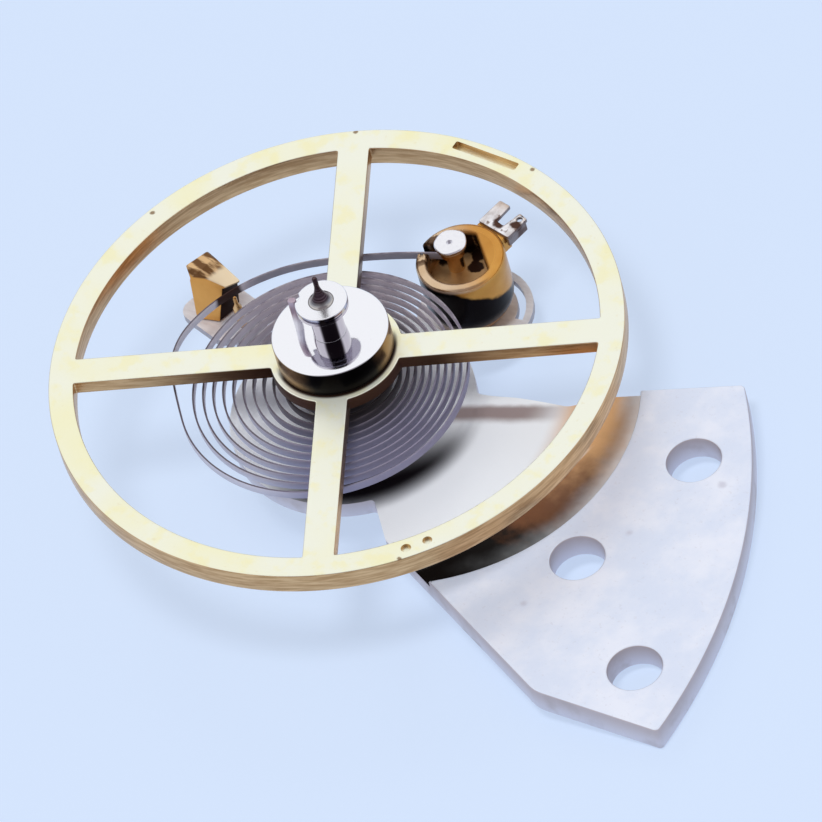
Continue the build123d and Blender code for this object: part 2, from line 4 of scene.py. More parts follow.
import bpy
import numpy as np
from mathutils import Matrix, Vector
from mathutils.geometry import tessellate_polygon


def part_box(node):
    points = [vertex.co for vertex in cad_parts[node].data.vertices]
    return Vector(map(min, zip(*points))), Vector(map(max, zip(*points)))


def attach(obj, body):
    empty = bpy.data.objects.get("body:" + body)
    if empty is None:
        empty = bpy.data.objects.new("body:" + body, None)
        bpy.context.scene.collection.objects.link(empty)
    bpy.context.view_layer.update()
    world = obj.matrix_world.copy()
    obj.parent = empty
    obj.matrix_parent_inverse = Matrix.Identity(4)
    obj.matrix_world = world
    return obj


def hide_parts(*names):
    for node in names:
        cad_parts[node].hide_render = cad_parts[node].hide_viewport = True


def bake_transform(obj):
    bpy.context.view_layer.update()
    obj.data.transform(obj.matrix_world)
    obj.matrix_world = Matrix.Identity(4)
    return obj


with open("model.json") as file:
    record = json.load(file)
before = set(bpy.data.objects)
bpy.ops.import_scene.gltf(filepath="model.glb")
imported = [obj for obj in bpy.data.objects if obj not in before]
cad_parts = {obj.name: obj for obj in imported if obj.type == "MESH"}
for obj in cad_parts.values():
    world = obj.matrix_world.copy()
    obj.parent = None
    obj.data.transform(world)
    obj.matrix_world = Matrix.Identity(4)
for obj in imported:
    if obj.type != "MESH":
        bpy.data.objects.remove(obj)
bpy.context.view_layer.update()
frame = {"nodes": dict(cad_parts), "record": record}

# A watch balance with its cock, lying with the wheel up.
# Lengths are in millimetres and become metres in a mesh, and angles are in degrees.
MILLIMETRE = 0.001
DIAGONAL = math.sqrt(2)
press_gap = 0.005

# Places and sizes shared with the frame
wheel_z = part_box("balance_wheel")[1].z / MILLIMETRE
wheel_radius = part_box("balance_wheel")[1].x / MILLIMETRE
rim_bottom_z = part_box("balance_wheel")[0].z / MILLIMETRE
rim_width = 0.43
rim_inner_radius = wheel_radius - rim_width
spoke_width = 0.55
spoke_thickness = 0.25
spoke_z = wheel_z - spoke_thickness
spoke_angle = 29.0
hub_radius = 1.15
wheel_bore_radius = 0.40
wheel_root_radius = 0.05
rim_top_edge = 0.022
rim_bottom_edge = 0.03
poising_slot_angle = 89.7
poising_slot_length = 1.30
poising_slot_width = 0.17
poising_slot_depth = 0.12
poising_dimples = ((-42.6, 0.09), (-38.0, 0.085))
poising_dimple_depth = 0.06
rim_nicks = ((78.8, 4.94), (163.8, 4.90), (118.8, 4.96), (-44.5, 4.97))

cock_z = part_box("balance_cock")[0].z / MILLIMETRE
foot_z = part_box("balance_cock")[1].z / MILLIMETRE
relief_depth = 0.15
arm_z = foot_z - relief_depth
cock_hole_radius = 0.475
cock_holes = ((5.51, -1.37), (6.21, 1.28), (7.72, -3.03))
cock_bore_radius = 0.75
cock_end_radius = 2.15
relief_centre = (1.24, 0.30)
relief_radius = 3.81
movement_centre = (-2.13, -4.14)
movement_radius = 10.95
foot_front_y = -4.15
foot_rear_y = 3.15
foot_shoulder = ((4.0, 1.98), (3.46, 1.52), (3.0, 1.44), (2.53, 1.34), (2.1, 1.2), (1.82, 1.14))
foot_heel_centre = (6.504, -3.55)
foot_heel_radius = 0.60
neck_front = (2.14, -2.28)
neck_front_angle = -47.5
cock_corner_reach = 0.16
cock_blots = (((6.96, 1.01), 0.05), ((6.04, -0.54), 0.03), ((5.2, -2.6), 0.03))
cock_bottom_edge = 0.04
cock_top_edge = 0.03

roller_bottom_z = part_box("impulse_roller")[0].z / MILLIMETRE
roller_top_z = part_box("impulse_roller")[1].z / MILLIMETRE
roller_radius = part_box("impulse_roller")[1].x / MILLIMETRE
roller_edge = 0.03
staff_radius = 0.21
staff_body_radius = 0.22
staff_edge = 0.02
staff_flange_radius = 0.62
staff_flange_thickness = 0.17
collet_seat_radius = 0.26
collet_seat_height = 0.42
pivot_radius = 0.045
pivot_length = 0.20
pivot_cone_radius = 0.19
pivot_cone_hollow = 1.7
lower_pivot_length = 0.22
lower_cone_height = 0.30
neck_bottom_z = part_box("safety_roller")[0].z / MILLIMETRE
safety_top_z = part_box("safety_roller")[1].z / MILLIMETRE
safety_thickness = 0.17
safety_radius = 0.457
neck_radius = 0.28
neck_flare = 0.006
crescent_radius = 0.15
jewel_angle = 197.0
jewel_reach = 0.55
jewel_radius = 0.085
jewel_half_width = 0.06
jewel_corner = 0.05
jewel_top_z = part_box("impulse_jewel")[1].z / MILLIMETRE

spring_bottom_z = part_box("hairspring")[0].z / MILLIMETRE
spring_top_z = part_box("hairspring")[1].z / MILLIMETRE
strip_thickness = 0.032
strip_edge = 0.010
coil_count = 13
coil_first_radius = 0.60
coil_pitch_narrow = 0.130
coil_pitch_wide = 0.175
coil_last_radius = 2.85
coil_narrow_angle = 45.0
outer_bend_radii = (14.7, 1.50, 2.89, 8.7)
outer_bend_turns = (4.2, 47.8, 47.9, 16.4)

stud_angle = 80.0
stud_distance = 3.03
stud_radius = 0.78
stud_stem_radius = 0.22
stud_stem_length = 0.26
stud_foot_radius = 0.50
stud_foot_z = 0.74
stud_drum_z = 1.30
stud_bowl_z = 1.70
stud_slot_z = spring_bottom_z - 0.02
stud_top_z = 2.15
stud_bowl_radius = 0.58
stud_flat_distance = 0.39
stud_flat_angle = -33.0
stud_slot_width = 0.20
stud_bowl_patches = (((0.54, 3.46), 0.13), ((0.62, 3.20), 0.10), ((0.26, 3.52), 0.12), ((0.02, 3.12), 0.10))
stud_lip_edge = 0.075
stud_neck_half_width = 0.31
stud_neck_inner = stud_radius - 0.15
stud_neck_outer = stud_radius + 0.14
stud_neck_bottom_z = stud_top_z - 0.42
stud_neck_top_z = stud_top_z - 0.08
stud_pin_radius = 0.15
stud_pin_collar_radius = 0.22
stud_pin_head_radius = 0.29
stud_pin_head_thickness = 0.10
stud_pin_facet_depth = 0.012
stud_pin_dimple_radius = 0.055
stud_pin_dimple_depth = 0.05
stud_pin_top_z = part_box("stud_pin")[1].z / MILLIMETRE
clip_gap = 0.02
clip_length = 0.56
clip_sheet = 0.07
clip_hole_radius = 0.05
clip_patches = ((4.02, 79.3, 0.10), (4.14, 75.5, 0.07))

boot_cap_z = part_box("regulator_boot")[1].z / MILLIMETRE
boot_angle = 166.5
boot_distance = 3.46
boot_edge = 0.035
boot_brown_z = 2.23
boot_gap = 0.02
boot_post_radius = 0.20
boot_rivet_radius = 0.30
boot_rivet_thickness = 0.10
curb_pin_place = (2.83, 165.0)
curb_pin_radius = 0.08
curb_pin_tip_radius = 0.036

# Camera, as the photograph was taken, and the table that the part leans on
photo_size = 822
wheel_centre_x = 335.8
wheel_centre_y = 350.6
pixels_per_millimetre = 58.75
camera_distance = 300.0
camera_azimuth = 45.0
camera_elevation = 47.7
camera_roll = -16.45
table_slope = 0.112
table_direction = 10.0
table_touch_radius = 1.15
table_size = 200.0
table_tone = (0.658, 0.775, 0.97)
table_lit_share = 0.33
table_glow = 0.68
room_plain = (0.45, 0.46, 0.50)
room_low = (0.62, 0.70, 0.80)
room_high = (1.0, 1.0, 1.0)
room_behind_camera = (0.34, 0.31, 0.34)
room_backdrop = (0.66, 0.775, 0.97)


def polar(radius, angle):
    """Point at a radius and an angle in degrees about the origin."""
    return np.array([radius * math.cos(math.radians(angle)), radius * math.sin(math.radians(angle))])


def turn(points, angle):
    """Points in the plane, turned about the origin by an angle in degrees."""
    c, s = math.cos(math.radians(angle)), math.sin(math.radians(angle))
    return np.asarray(points) @ np.array([[c, s], [-s, c]])


# Shapes


def arc(centre, radius, start, end, count):
    """Centre plus radius times the cosine and sine of angles from start to end, in degrees."""
    a = np.radians(np.linspace(start, end, count))
    return np.asarray(centre) + radius * np.stack([np.cos(a), np.sin(a)], -1)


def circle(centre, radius, count, clockwise=False):
    """Closed loop of equal angles, without its last point twice."""
    whole = arc(centre, radius, 0, 360, count + 1)[:-1]
    return whole[::-1] if clockwise else whole


def rounded(corners, radius, steps=5):
    """Closed loop whose corners are arcs, each from radius over the tangent of half its corner."""
    corners = np.asarray(corners, float)
    before = np.roll(corners, 1, 0) - corners
    after = np.roll(corners, -1, 0) - corners
    a = before / np.linalg.norm(before, axis=1, keepdims=True)
    b = after / np.linalg.norm(after, axis=1, keepdims=True)
    half = np.arccos(np.clip((a * b).sum(1), -1, 1)) / 2
    middle = (a + b) / np.linalg.norm(a + b, axis=1, keepdims=True)
    centre = corners + middle * (radius / np.sin(half))[:, None]
    first = corners + a * (radius / np.tan(half))[:, None] - centre
    last = corners + b * (radius / np.tan(half))[:, None] - centre
    t = np.linspace(0, 1, steps)[None, :, None]
    sweep = np.pi - 2 * half
    weights_a = np.sin((1 - t) * sweep[:, None, None]) / np.sin(sweep)[:, None, None]
    weights_b = np.sin(t * sweep[:, None, None]) / np.sin(sweep)[:, None, None]
    points = centre[:, None] + weights_a * first[:, None] + weights_b * last[:, None]
    return points.reshape(-1, 2)


def make_piece(name, points, faces, angle=35.0):
    """New object at the origin from points in millimetres, smooth below an angle in degrees."""
    mesh = bpy.data.meshes.new(name)
    mesh.from_pydata((np.asarray(points) * MILLIMETRE).tolist(), [], [tuple(f) for f in faces])
    mesh.validate()
    mesh.shade_smooth()
    mesh.set_sharp_from_angle(angle=math.radians(angle))
    piece = bpy.data.objects.new(name, mesh)
    bpy.context.scene.collection.objects.link(piece)
    return piece


def grid_faces(rows, columns, close_rows=False):
    """Quads of a grid that closes along its rows, and whose point (i, j) is number i * columns + j."""
    i = np.arange(rows if close_rows else rows - 1)[:, None]
    j = np.arange(columns)[None, :]
    i2, j2 = (i + 1) % rows, (j + 1) % columns
    corners = i * columns + j, i * columns + j2, i2 * columns + j2, i2 * columns + j
    return np.stack(np.broadcast_arrays(*corners), -1).reshape(-1, 4).tolist()


class Shell:
    """Closed surfaces that become one piece: lists of points and faces, in millimetres."""

    def __init__(self):
        self.points = []
        self.faces = []
        self.count = 0

    def add(self, points, faces):
        """Points and the faces between them, numbered from the first of these points."""
        self.points.append(np.asarray(points, float))
        self.faces.extend([[n + self.count for n in f] for f in faces])
        self.count += len(points)

    def revolve(self, profile, count, centre=(0, 0)):
        """Radius and height of a profile, carried round the Z axis: x is r cos a and y is r sin a. The
        profile runs upwards on its outer side. Where it starts and ends on the axis, each pole is one
        point."""
        profile = np.asarray(profile, float)
        on_axis = abs(profile[0, 0]) < 1e-9 and abs(profile[-1, 0]) < 1e-9
        body = profile[1:-1] if on_axis else profile
        a = np.linspace(0, 2 * np.pi, count, endpoint=False)
        r, z = body[:, 0][:, None], body[:, 1][:, None]
        x, y = r * np.cos(a) + centre[0], r * np.sin(a) + centre[1]
        points = np.stack([x, y, z + 0 * a], -1).reshape(-1, 3)
        faces = grid_faces(len(body), count, close_rows=not on_axis)
        if on_axis:
            low, high = len(points), len(points) + 1
            ends = [[*centre, profile[0, 1]], [*centre, profile[-1, 1]]]
            points = np.concatenate([points, ends])
            last = (len(body) - 1) * count
            j = np.arange(count)
            k = (j + 1) % count
            faces += np.stack([k, j, np.full(count, low)], -1).tolist()
            faces += np.stack([last + j, last + k, np.full(count, high)], -1).tolist()
        self.add(points, faces)

    def prism(self, loops, bottom, top, edge_bottom=0.0, edge_top=0.0, pockets=()):
        """Wall along each loop, with material on its left, and flat caps between the loops. An edge is a
        quarter circle: as t grows, it is e - e sin t from the wall and e - e cos t from the cap. Beside
        it lies a narrow flat ring, which keeps the cap's shading flat. A pocket is a loop cut in the top
        cap only, with walls and a floor at its depth."""
        t = np.linspace(0, np.pi / 2, 4)
        low = [(edge_bottom * (1 - math.sin(x)), bottom + edge_bottom * (1 - math.cos(x))) for x in t]
        high = [(edge_top * (1 - math.sin(x)), top - edge_top * (1 - math.cos(x))) for x in t[::-1]]
        ring = 0.008
        low = [(edge_bottom + ring, bottom)] + low if edge_bottom else [(0, bottom)]
        high = high + [(edge_top + ring, top)] if edge_top else [(0, top)]
        rows = low + high
        low_loops, high_loops = [], []
        for loop in loops:
            inward = left_normals(loop)
            points = [np.column_stack([loop + inward * inset, np.full(len(loop), z)]) for inset, z in rows]
            start = self.count
            self.add(np.concatenate(points), grid_faces(len(rows), len(loop)))
            low_loops.append((points[0], start, False))
            high_loops.append((points[-1], start + (len(rows) - 1) * len(loop), False))
        for loop, depth in pockets:
            levels = (top - depth, top)
            walls = np.concatenate([np.column_stack([loop, np.full(len(loop), z)]) for z in levels])
            start = self.count
            self.add(walls, grid_faces(2, len(loop)))
            high_loops.append((walls[len(loop):], start + len(loop), False))
            self.cap([(walls[: len(loop)][::-1], start, True)], upwards=True)
        self.cap(low_loops, upwards=False)
        self.cap(high_loops, upwards=True)

    def cap(self, loops, upwards):
        """Flat triangles, facing up or down, between loops whose points are there already. A loop is its
        points, the number of the first of them, and whether it runs against their numbers."""
        orders = [np.arange(len(p))[:: -1 if turned else 1] + start for p, start, turned in loops]
        numbers = np.concatenate(orders)
        flat = [[Vector((x, y, 0)) for x, y, _ in p] for p, _, _ in loops]
        triangles = np.array(tessellate_polygon(flat))
        xy = np.concatenate([p[:, :2] for p, _, _ in loops])[triangles]
        side = np.cross(xy[:, 1] - xy[:, 0], xy[:, 2] - xy[:, 0])
        whole = np.abs(side) > 1e-12
        triangles = triangles[whole]
        wrong = (side[whole] > 0) != upwards
        triangles[wrong] = triangles[wrong][:, ::-1]
        self.faces.extend(numbers[triangles].tolist())

    def piece(self, name, angle=35.0):
        """The object that these surfaces make."""
        return make_piece(name, np.concatenate(self.points), self.faces, angle)


def left_normals(loop):
    """Vectors to the left of a closed loop's travel, halfway between those of both sides at each
    point, and stretched so that an inset keeps its width."""
    ahead = np.roll(loop, -1, 0) - loop
    ahead /= np.maximum(np.linalg.norm(ahead, axis=1, keepdims=True), 1e-9)
    both = ahead + np.roll(ahead, 1, 0)
    both /= np.maximum(np.linalg.norm(both, axis=1, keepdims=True), 1e-9)
    stretch = 1 / np.maximum((both * ahead).sum(1, keepdims=True), 0.5)
    return np.stack([-both[:, 1], both[:, 0]], -1) * stretch


def ring_profile(inner, outer, bottom, top, edge):
    """Closed rectangle of radius and height with rounded corners, upwards on its outer side."""
    return rounded([(outer, bottom), (outer, top), (inner, top), (inner, bottom)], edge, 4)


# Materials


class Value:
    """A socket of a material. Sums and products of values add their Math nodes."""

    def __init__(self, network, socket):
        self.network = network
        self.socket = socket

    def _math(self, operation, *values):
        return self.network.node("ShaderNodeMath", {"operation": operation}, *values)

    def __add__(self, other):
        return self._math("ADD", self, other)

    def __sub__(self, other):
        return self._math("SUBTRACT", self, other)

    def __mul__(self, other):
        return self._math("MULTIPLY", self, other)

    def __truediv__(self, other):
        return self._math("DIVIDE", self, other)

    def __radd__(self, other):
        return self._math("ADD", other, self)

    def __rsub__(self, other):
        return self._math("SUBTRACT", other, self)

    def __rmul__(self, other):
        return self._math("MULTIPLY", other, self)

    def step(self, low, high):
        """0 below low, 1 above high, and smooth between them."""
        settings = {"interpolation_type": "SMOOTHSTEP"}
        return self.network.node("ShaderNodeMapRange", settings, self, low, high, 0.0, 1.0)

    def root(self):
        """Square root."""
        return self._math("POWER", self, 0.5)

    def size(self):
        """The value without its sign."""
        return self._math("ABSOLUTE", self)

    def at_least(self, other):
        """The larger of two values."""
        return self._math("MAXIMUM", self, other)


class Network:
    """A node tree that is written as expressions."""

    def __init__(self, tree):
        self.tree = tree
        self.tree.nodes.clear()

    def fill(self, socket, value):
        """Links a value to a socket, or sets the socket to a number, a vector or a colour."""
        if isinstance(value, Value):
            self.tree.links.new(value.socket, socket)
        elif socket.type == "RGBA":
            socket.default_value = (*value[:3], 1)
        else:
            socket.default_value = value

    def node(self, kind, settings, *values, **named):
        """Adds a node: its settings first, then values or links for its sockets in order or by name."""
        node = self.tree.nodes.new(kind)
        for key, value in settings.items():
            if key != "output":
                setattr(node, key, value)
        for key, value in enumerate(values):
            self.fill(node.inputs[key], value)
        for key, value in named.items():
            self.fill(node.inputs[key.replace("_", " ")], value)
        return Value(self, node.outputs[settings.get("output", 0)])

    def parts(self, vector):
        """The three numbers of a vector."""
        outputs = self.node("ShaderNodeSeparateXYZ", {}, vector).socket.node.outputs
        return tuple(Value(self, outputs[i]) for i in range(3))

    def mix(self, share, first, second):
        """Colour between two colours, as the share grows from 0 to 1."""
        node = self.tree.nodes.new("ShaderNodeMix")
        node.data_type = "RGBA"
        number_socket, first_colour_socket, second_colour_socket, colour_output = 0, 6, 7, 2
        self.fill(node.inputs[number_socket], share)
        self.fill(node.inputs[first_colour_socket], first)
        self.fill(node.inputs[second_colour_socket], second)
        return Value(self, node.outputs[colour_output])

    def close(self, shader, output):
        """Gives the tree its output node."""
        self.tree.links.new(shader.socket, self.tree.nodes.new(output).inputs["Surface"])


class Finish(Network):
    """A material that is written as expressions on the place in millimetres."""

    def __init__(self, name):
        self.material = bpy.data.materials.new(name)
        self.material.use_nodes = True
        super().__init__(self.material.node_tree)
        place = self.node("ShaderNodeTexCoord", {"output": "Object"})
        self.place = self.node("ShaderNodeVectorMath", {"operation": "SCALE"}, place, Scale=1 / MILLIMETRE)
        self.normal = self.node("ShaderNodeTexCoord", {"output": "Normal"})
        self.x, self.y, self.z = self.parts(self.place)
        self.upward = self.parts(self.normal)[2]

    def stretched(self, scale_x, scale_y, scale_z):
        """The place with each direction scaled by itself."""
        return self.node("ShaderNodeMapping", {}, self.place, Scale=(scale_x, scale_y, scale_z))

    def toward(self, direction):
        """Cosine between the surface's normal and a direction of the part."""
        settings = {"operation": "DOT_PRODUCT", "output": "Value"}
        return self.node("ShaderNodeVectorMath", settings, self.normal, direction)

    def noise(self, scale, detail=3.0, roughness=0.55, place=None):
        """Soft noise from 0 to 1, with scale features in a millimetre."""
        place = self.place if place is None else place
        return self.node("ShaderNodeTexNoise", {}, place, Scale=scale, Detail=detail, Roughness=roughness)

    def radius(self, centre=(0, 0)):
        """Distance from an upright axis."""
        dx, dy = self.x - centre[0], self.y - centre[1]
        return (dx * dx + dy * dy).root()

    def turned_lines(self, pitch):
        """Fine rings of a lathe: noise on the distance from the axis alone, with a slow wander."""
        r = self.radius() / pitch + self.noise(0.7) * 2.0
        return self.node("ShaderNodeTexNoise", {"noise_dimensions": "1D"}, W=r, Scale=1.0, Detail=2.0)

    def bump(self, height, micrometres):
        """Normal of a height from 0 to 1 that stands so many micrometres tall."""
        distance = micrometres * MILLIMETRE * MILLIMETRE
        return self.node("ShaderNodeBump", {}, Strength=1.0, Distance=distance, Height=height)

    def metal(self, colour, roughness, normal, metallic=1.0):
        """Closes the material with one metal shader."""
        given = {"Base_Color": colour, "Roughness": roughness, "Metallic": metallic, "Normal": normal}
        self.close(self.node("ShaderNodeBsdfPrincipled", {}, **given), "ShaderNodeOutputMaterial")
        return self.material


def pale_gold():
    """Wheel: satin pale gold on top with warmer clouds, brown nicks, a ring of painted shade beside the
    roller on the front side, and warmer, darker machined walls with painted shade towards the hub."""
    f = Finish("pale_gold")
    top = f.upward.step(0.55, 0.9)
    clouds = f.noise(0.55, 2.0).step(0.38, 0.68)
    flecks = f.noise(9.0, 4.0).step(0.62, 0.8)
    face = f.mix(clouds, (0.91, 0.92, 0.80), (0.93, 0.91, 0.64))
    patches = f.noise(2.3, 3.0).step(0.50, 0.66)
    face = f.mix(patches * 0.45, face, (0.94, 0.88, 0.48))
    face = f.mix(flecks * 0.35, face, (0.80, 0.70, 0.42))
    for angle, reach in rim_nicks:
        nick = f.radius(polar(reach, angle)) + f.noise(14.0) * 0.05
        face = f.mix(1 - nick.step(0.05, 0.08), face, (0.34, 0.25, 0.16))
    front = (f.x - f.y + f.noise(2.5) * 0.5).step(0.1, 0.7)
    # Painted shade: a near-black ring on the hub's top beside the roller, on the front side.
    face = f.mix((1 - f.radius().step(1.03, 1.09)) * front, face, (0.035, 0.018, 0.012))
    bands = f.noise(3.0, 3.0, place=f.stretched(0.6, 0.6, 7.0))
    wall = f.mix(bands.step(0.3, 0.7), (0.50, 0.29, 0.13), (0.76, 0.50, 0.26))
    # Painted shade: the walls darken to near black towards the hub.
    wall = f.mix(f.radius().step(1.2, 4.4), (0.09, 0.04, 0.02), wall)
    colour = f.mix(top, wall, face)
    grain = f.noise(26.0, 3.0)
    roughness = 0.30 + grain * 0.12 - (1 - top) * 0.06
    metallic = 1 - (1 - f.radius().step(1.2, 1.9)) * front * 0.6
    return f.metal(colour, roughness, f.bump(grain + f.noise(4.0) * 0.6, 1.6), metallic)


def polished_steel():
    """Rollers: mirror steel with the faintest rings and a few marks. A painted reflection makes the wall
    black in front and gold at both ends, and the neck grey with a black stripe down its front; faces
    that look down are painted a darker purple-grey as shade."""
    f = Finish("polished_steel")
    marks = f.noise(14.0, 5.0).step(0.66, 0.8)
    colour = f.mix(marks * 0.25, (0.88, 0.89, 0.94), (0.62, 0.58, 0.56))
    upright = 1 - f.upward.size().step(0.5, 0.85)
    # Painted reflection on the upright walls: black in front and gold towards both ends, and on the neck grey
    # sides about a black middle stripe.
    along = (f.x + f.y) / DIAGONAL
    share = along / roller_radius
    ends = (share * share + f.noise(3.0) * 0.2).step(0.35, 0.85)
    wall = f.mix(ends, (0.004, 0.003, 0.003), (0.34, 0.19, 0.07))
    neck = 1 - f.z.step(roller_top_z - 0.02, roller_top_z)
    middle = 1 - (along / neck_radius).size().step(0.42, 0.62)
    wall = f.mix(neck, f.mix(middle, (0.55, 0.52, 0.58), (0.012, 0.008, 0.012)), wall)
    colour = f.mix(upright, colour, wall)
    # Painted shade: faces that look down are a darker purple-grey.
    colour = f.mix(f.upward.step(-0.2, -0.6), colour, (0.42, 0.39, 0.45))
    crown = f.z.step(safety_top_z - 0.03, safety_top_z - 0.01) * 0.16
    satin = upright * neck * 0.22
    roughness = 0.05 + f.turned_lines(0.015) * 0.05 + marks * 0.08 + crown + satin
    return f.metal(colour, roughness, f.bump(f.noise(3.0), 0.5))


def staff_steel():
    """Staff: hardened steel, darker and browner towards the pivot, with turned rings."""
    f = Finish("staff_steel")
    height = f.z.step(safety_top_z - 0.05, safety_top_z + 0.1)
    rings = f.noise(2.0, 3.0, place=f.stretched(1, 1, 22.0))
    bright = f.mix(rings, (0.55, 0.52, 0.50), (0.78, 0.76, 0.76))
    dark = f.mix(rings.step(0.45, 0.75), (0.035, 0.018, 0.022), (0.15, 0.10, 0.11))
    return f.metal(f.mix(height, bright, dark), 0.16 + rings * 0.14, f.bump(rings, 1.5))


def spring_alloy():
    """Hairspring: grey-violet drawn strip, its tops painted darker than its sides as shade. Painted shade
    makes it darker and bluer in front, painted light makes it pale on the left, where the tops are
    painted darker still, and painted shade makes it nearly black about the collet and in the boot's slot."""
    f = Finish("spring_alloy")
    top = f.upward.step(0.3, 0.8)
    streaks = f.noise(7.0, 3.0, place=f.stretched(1, 1, 9.0))
    # Painted shade: darker and bluer towards the front.
    front = ((f.x - f.y) / DIAGONAL + f.noise(1.2) * 0.8).step(-0.6, 1.6)
    body = f.mix(streaks, (0.54, 0.48, 0.53), (0.70, 0.63, 0.68))
    body = f.mix(front, body, (0.32, 0.30, 0.42))
    # Painted shade: the tops (crowns) are darker than the sides.
    crown = f.mix(f.noise(5.0).step(0.35, 0.65), (0.20, 0.17, 0.22), (0.42, 0.38, 0.42))
    crown = f.mix(front * 0.8, crown, (0.28, 0.26, 0.37))
    # Painted light on the left: paler sides, with the tops painted darker still.
    left = ((f.x + f.y + f.noise(1.0) * 1.2) / -DIAGONAL).step(0.4, 1.8)
    body = f.mix(left * 0.75, body, (0.80, 0.78, 0.84))
    crown = f.mix(left, crown, (0.13, 0.11, 0.14))
    lead = f.radius().step(2.55, 2.7) * f.y.step(0.9, 1.3)
    body = f.mix(lead * 0.8, body, (0.25, 0.24, 0.29))
    colour = f.mix(top, body, crown)
    # Painted shade: nearly black about the collet.
    colour = f.mix(f.radius().step(0.9, 1.7), (0.06, 0.045, 0.05), colour)
    # Painted shade: nearly black where the wire runs through the boot's slot.
    slot = f.radius(polar(2.98, 165.5)) + f.noise(6.0) * 0.06
    colour = f.mix(1 - slot.step(0.24, 0.34), colour, (0.03, 0.008, 0.006))
    return f.metal(colour, 0.55 + streaks * 0.14, f.bump(streaks, 0.8), metallic=0.25)


def cock_plate():
    """Cock: fine matt nickel with a lavender cast and faint blots. The lower arm is painted whiter as light,
    with a painted brown and black shadow and reflection of the rim, a painted highlight streak in it, a
    painted black shadow under the hairspring and a painted brown shadow band behind."""
    f = Finish("cock_plate")
    top = f.upward.step(0.5, 0.9)
    blotches = f.noise(1.1, 4.0, 0.6).step(0.35, 0.7)
    specks = f.noise(16.0, 3.0).step(0.6, 0.75)
    colour = f.mix(blotches, (0.76, 0.82, 0.96), (0.87, 0.90, 1.0))
    colour = f.mix(specks * 0.3, colour, (0.64, 0.64, 0.72))
    low_face = top * (1 - f.z.step(arm_z + 0.01, arm_z + 0.03))
    # Painted light: the lower arm's top is whiter than the foot's.
    colour = f.mix(low_face * 0.95, colour, (0.94, 0.97, 1.0))
    for place, size in cock_blots:
        blot = f.radius(place) + f.noise(9.0) * 0.07
        colour = f.mix((1 - blot.step(size, size + 0.10)) * 0.5, colour, (0.52, 0.50, 0.60))
    wall = f.mix(f.z.step(cock_z, foot_z), (0.70, 0.66, 0.72), (0.50, 0.41, 0.40))
    wall = f.mix(f.noise(1.6).step(0.5, 0.7) * 0.6, wall, (0.42, 0.34, 0.32))
    colour = f.mix((1 - top) * 0.85, colour, wall)
    # Painted shadow and reflection of the rim on the lower arm: black at its front end, brown towards the
    # neck, fading out towards the relief's edge.
    toward_neck = (f.y + f.noise(1.3) * 1.2).step(-2.0, 1.6)
    wander = f.radius(relief_centre) + f.noise(1.6) * 0.4
    fade = 1 - wander.step(3.5, 4.05) * toward_neck * 0.8
    under_rim = f.radius().step(3.45, 4.05) * low_face
    streaky = f.y + f.noise(2.2, 3.0) * 1.5 - f.radius() * 0.5
    rim_shadow_and_reflection = f.mix(streaky.step(-1.9, -0.2), (0.17, 0.065, 0.025), (0.74, 0.42, 0.19))
    rim_shadow_and_reflection = f.mix(streaky.step(-3.0, -2.0), (0.003, 0.0015, 0.001), rim_shadow_and_reflection)
    colour = f.mix(under_rim * fade, colour, rim_shadow_and_reflection)
    # Painted highlight: a light streak within the rim's painted shadow.
    gleam = f.x - f.y * 0.17 + f.noise(4.0) * 0.04 - 4.18
    across = gleam.step(-0.06, -0.02) * (1 - gleam.step(0.0, 0.05))
    along = f.y.step(-0.35, 0.1) * (1 - f.y.step(0.6, 1.0))
    colour = f.mix(across * along * low_face * 0.75, colour, (0.95, 0.88, 0.78))
    # Painted shadow: near black on the arm under the hairspring's front edge.
    under_spring = (1 - f.radius().step(1.95, 2.45)) * (f.x - f.y).step(1.2, 2.6) * low_face
    colour = f.mix(under_spring, colour, (0.012, 0.008, 0.012))
    # Painted shadow: a brown band along the arm's rear edge.
    rear = f.y - f.x * 0.43 + 0.06 + f.noise(3.0) * 0.08
    across = rear.step(-0.32, -0.08) * (1 - rear.step(0.08, 0.24))
    along = f.x.step(1.5, 1.8) * (1 - f.x.step(2.8, 3.7))
    colour = f.mix(across * along * low_face * 0.9, colour, (0.26, 0.18, 0.17))
    grain = f.noise(38.0, 3.0)
    normal = f.bump(grain + f.noise(2.2) * 0.8, 2.2)
    metallic = 0.45 - low_face * 0.30 + (under_rim * (1 - toward_neck) + under_spring) * 0.8
    return f.metal(colour, 0.40 + grain * 0.14 - under_rim * 0.08, normal, metallic)


def copper_gold():
    """Curb pin: polished copper-gold with soft dents that break up the reflections."""
    f = Finish("copper_gold")
    clouds = f.noise(2.4, 3.0).step(0.3, 0.7)
    colour = f.mix(clouds, (0.50, 0.26, 0.09), (0.78, 0.50, 0.24))
    stains = f.noise(5.0, 4.0).step(0.6, 0.78)
    colour = f.mix(stains * 0.5, colour, (0.40, 0.20, 0.08))
    roughness = 0.13 + f.noise(18.0) * 0.12 + stains * 0.1
    return f.metal(colour, roughness, f.bump(f.noise(1.8, 2.0) + f.noise(12.0) * 0.12, 9.0))


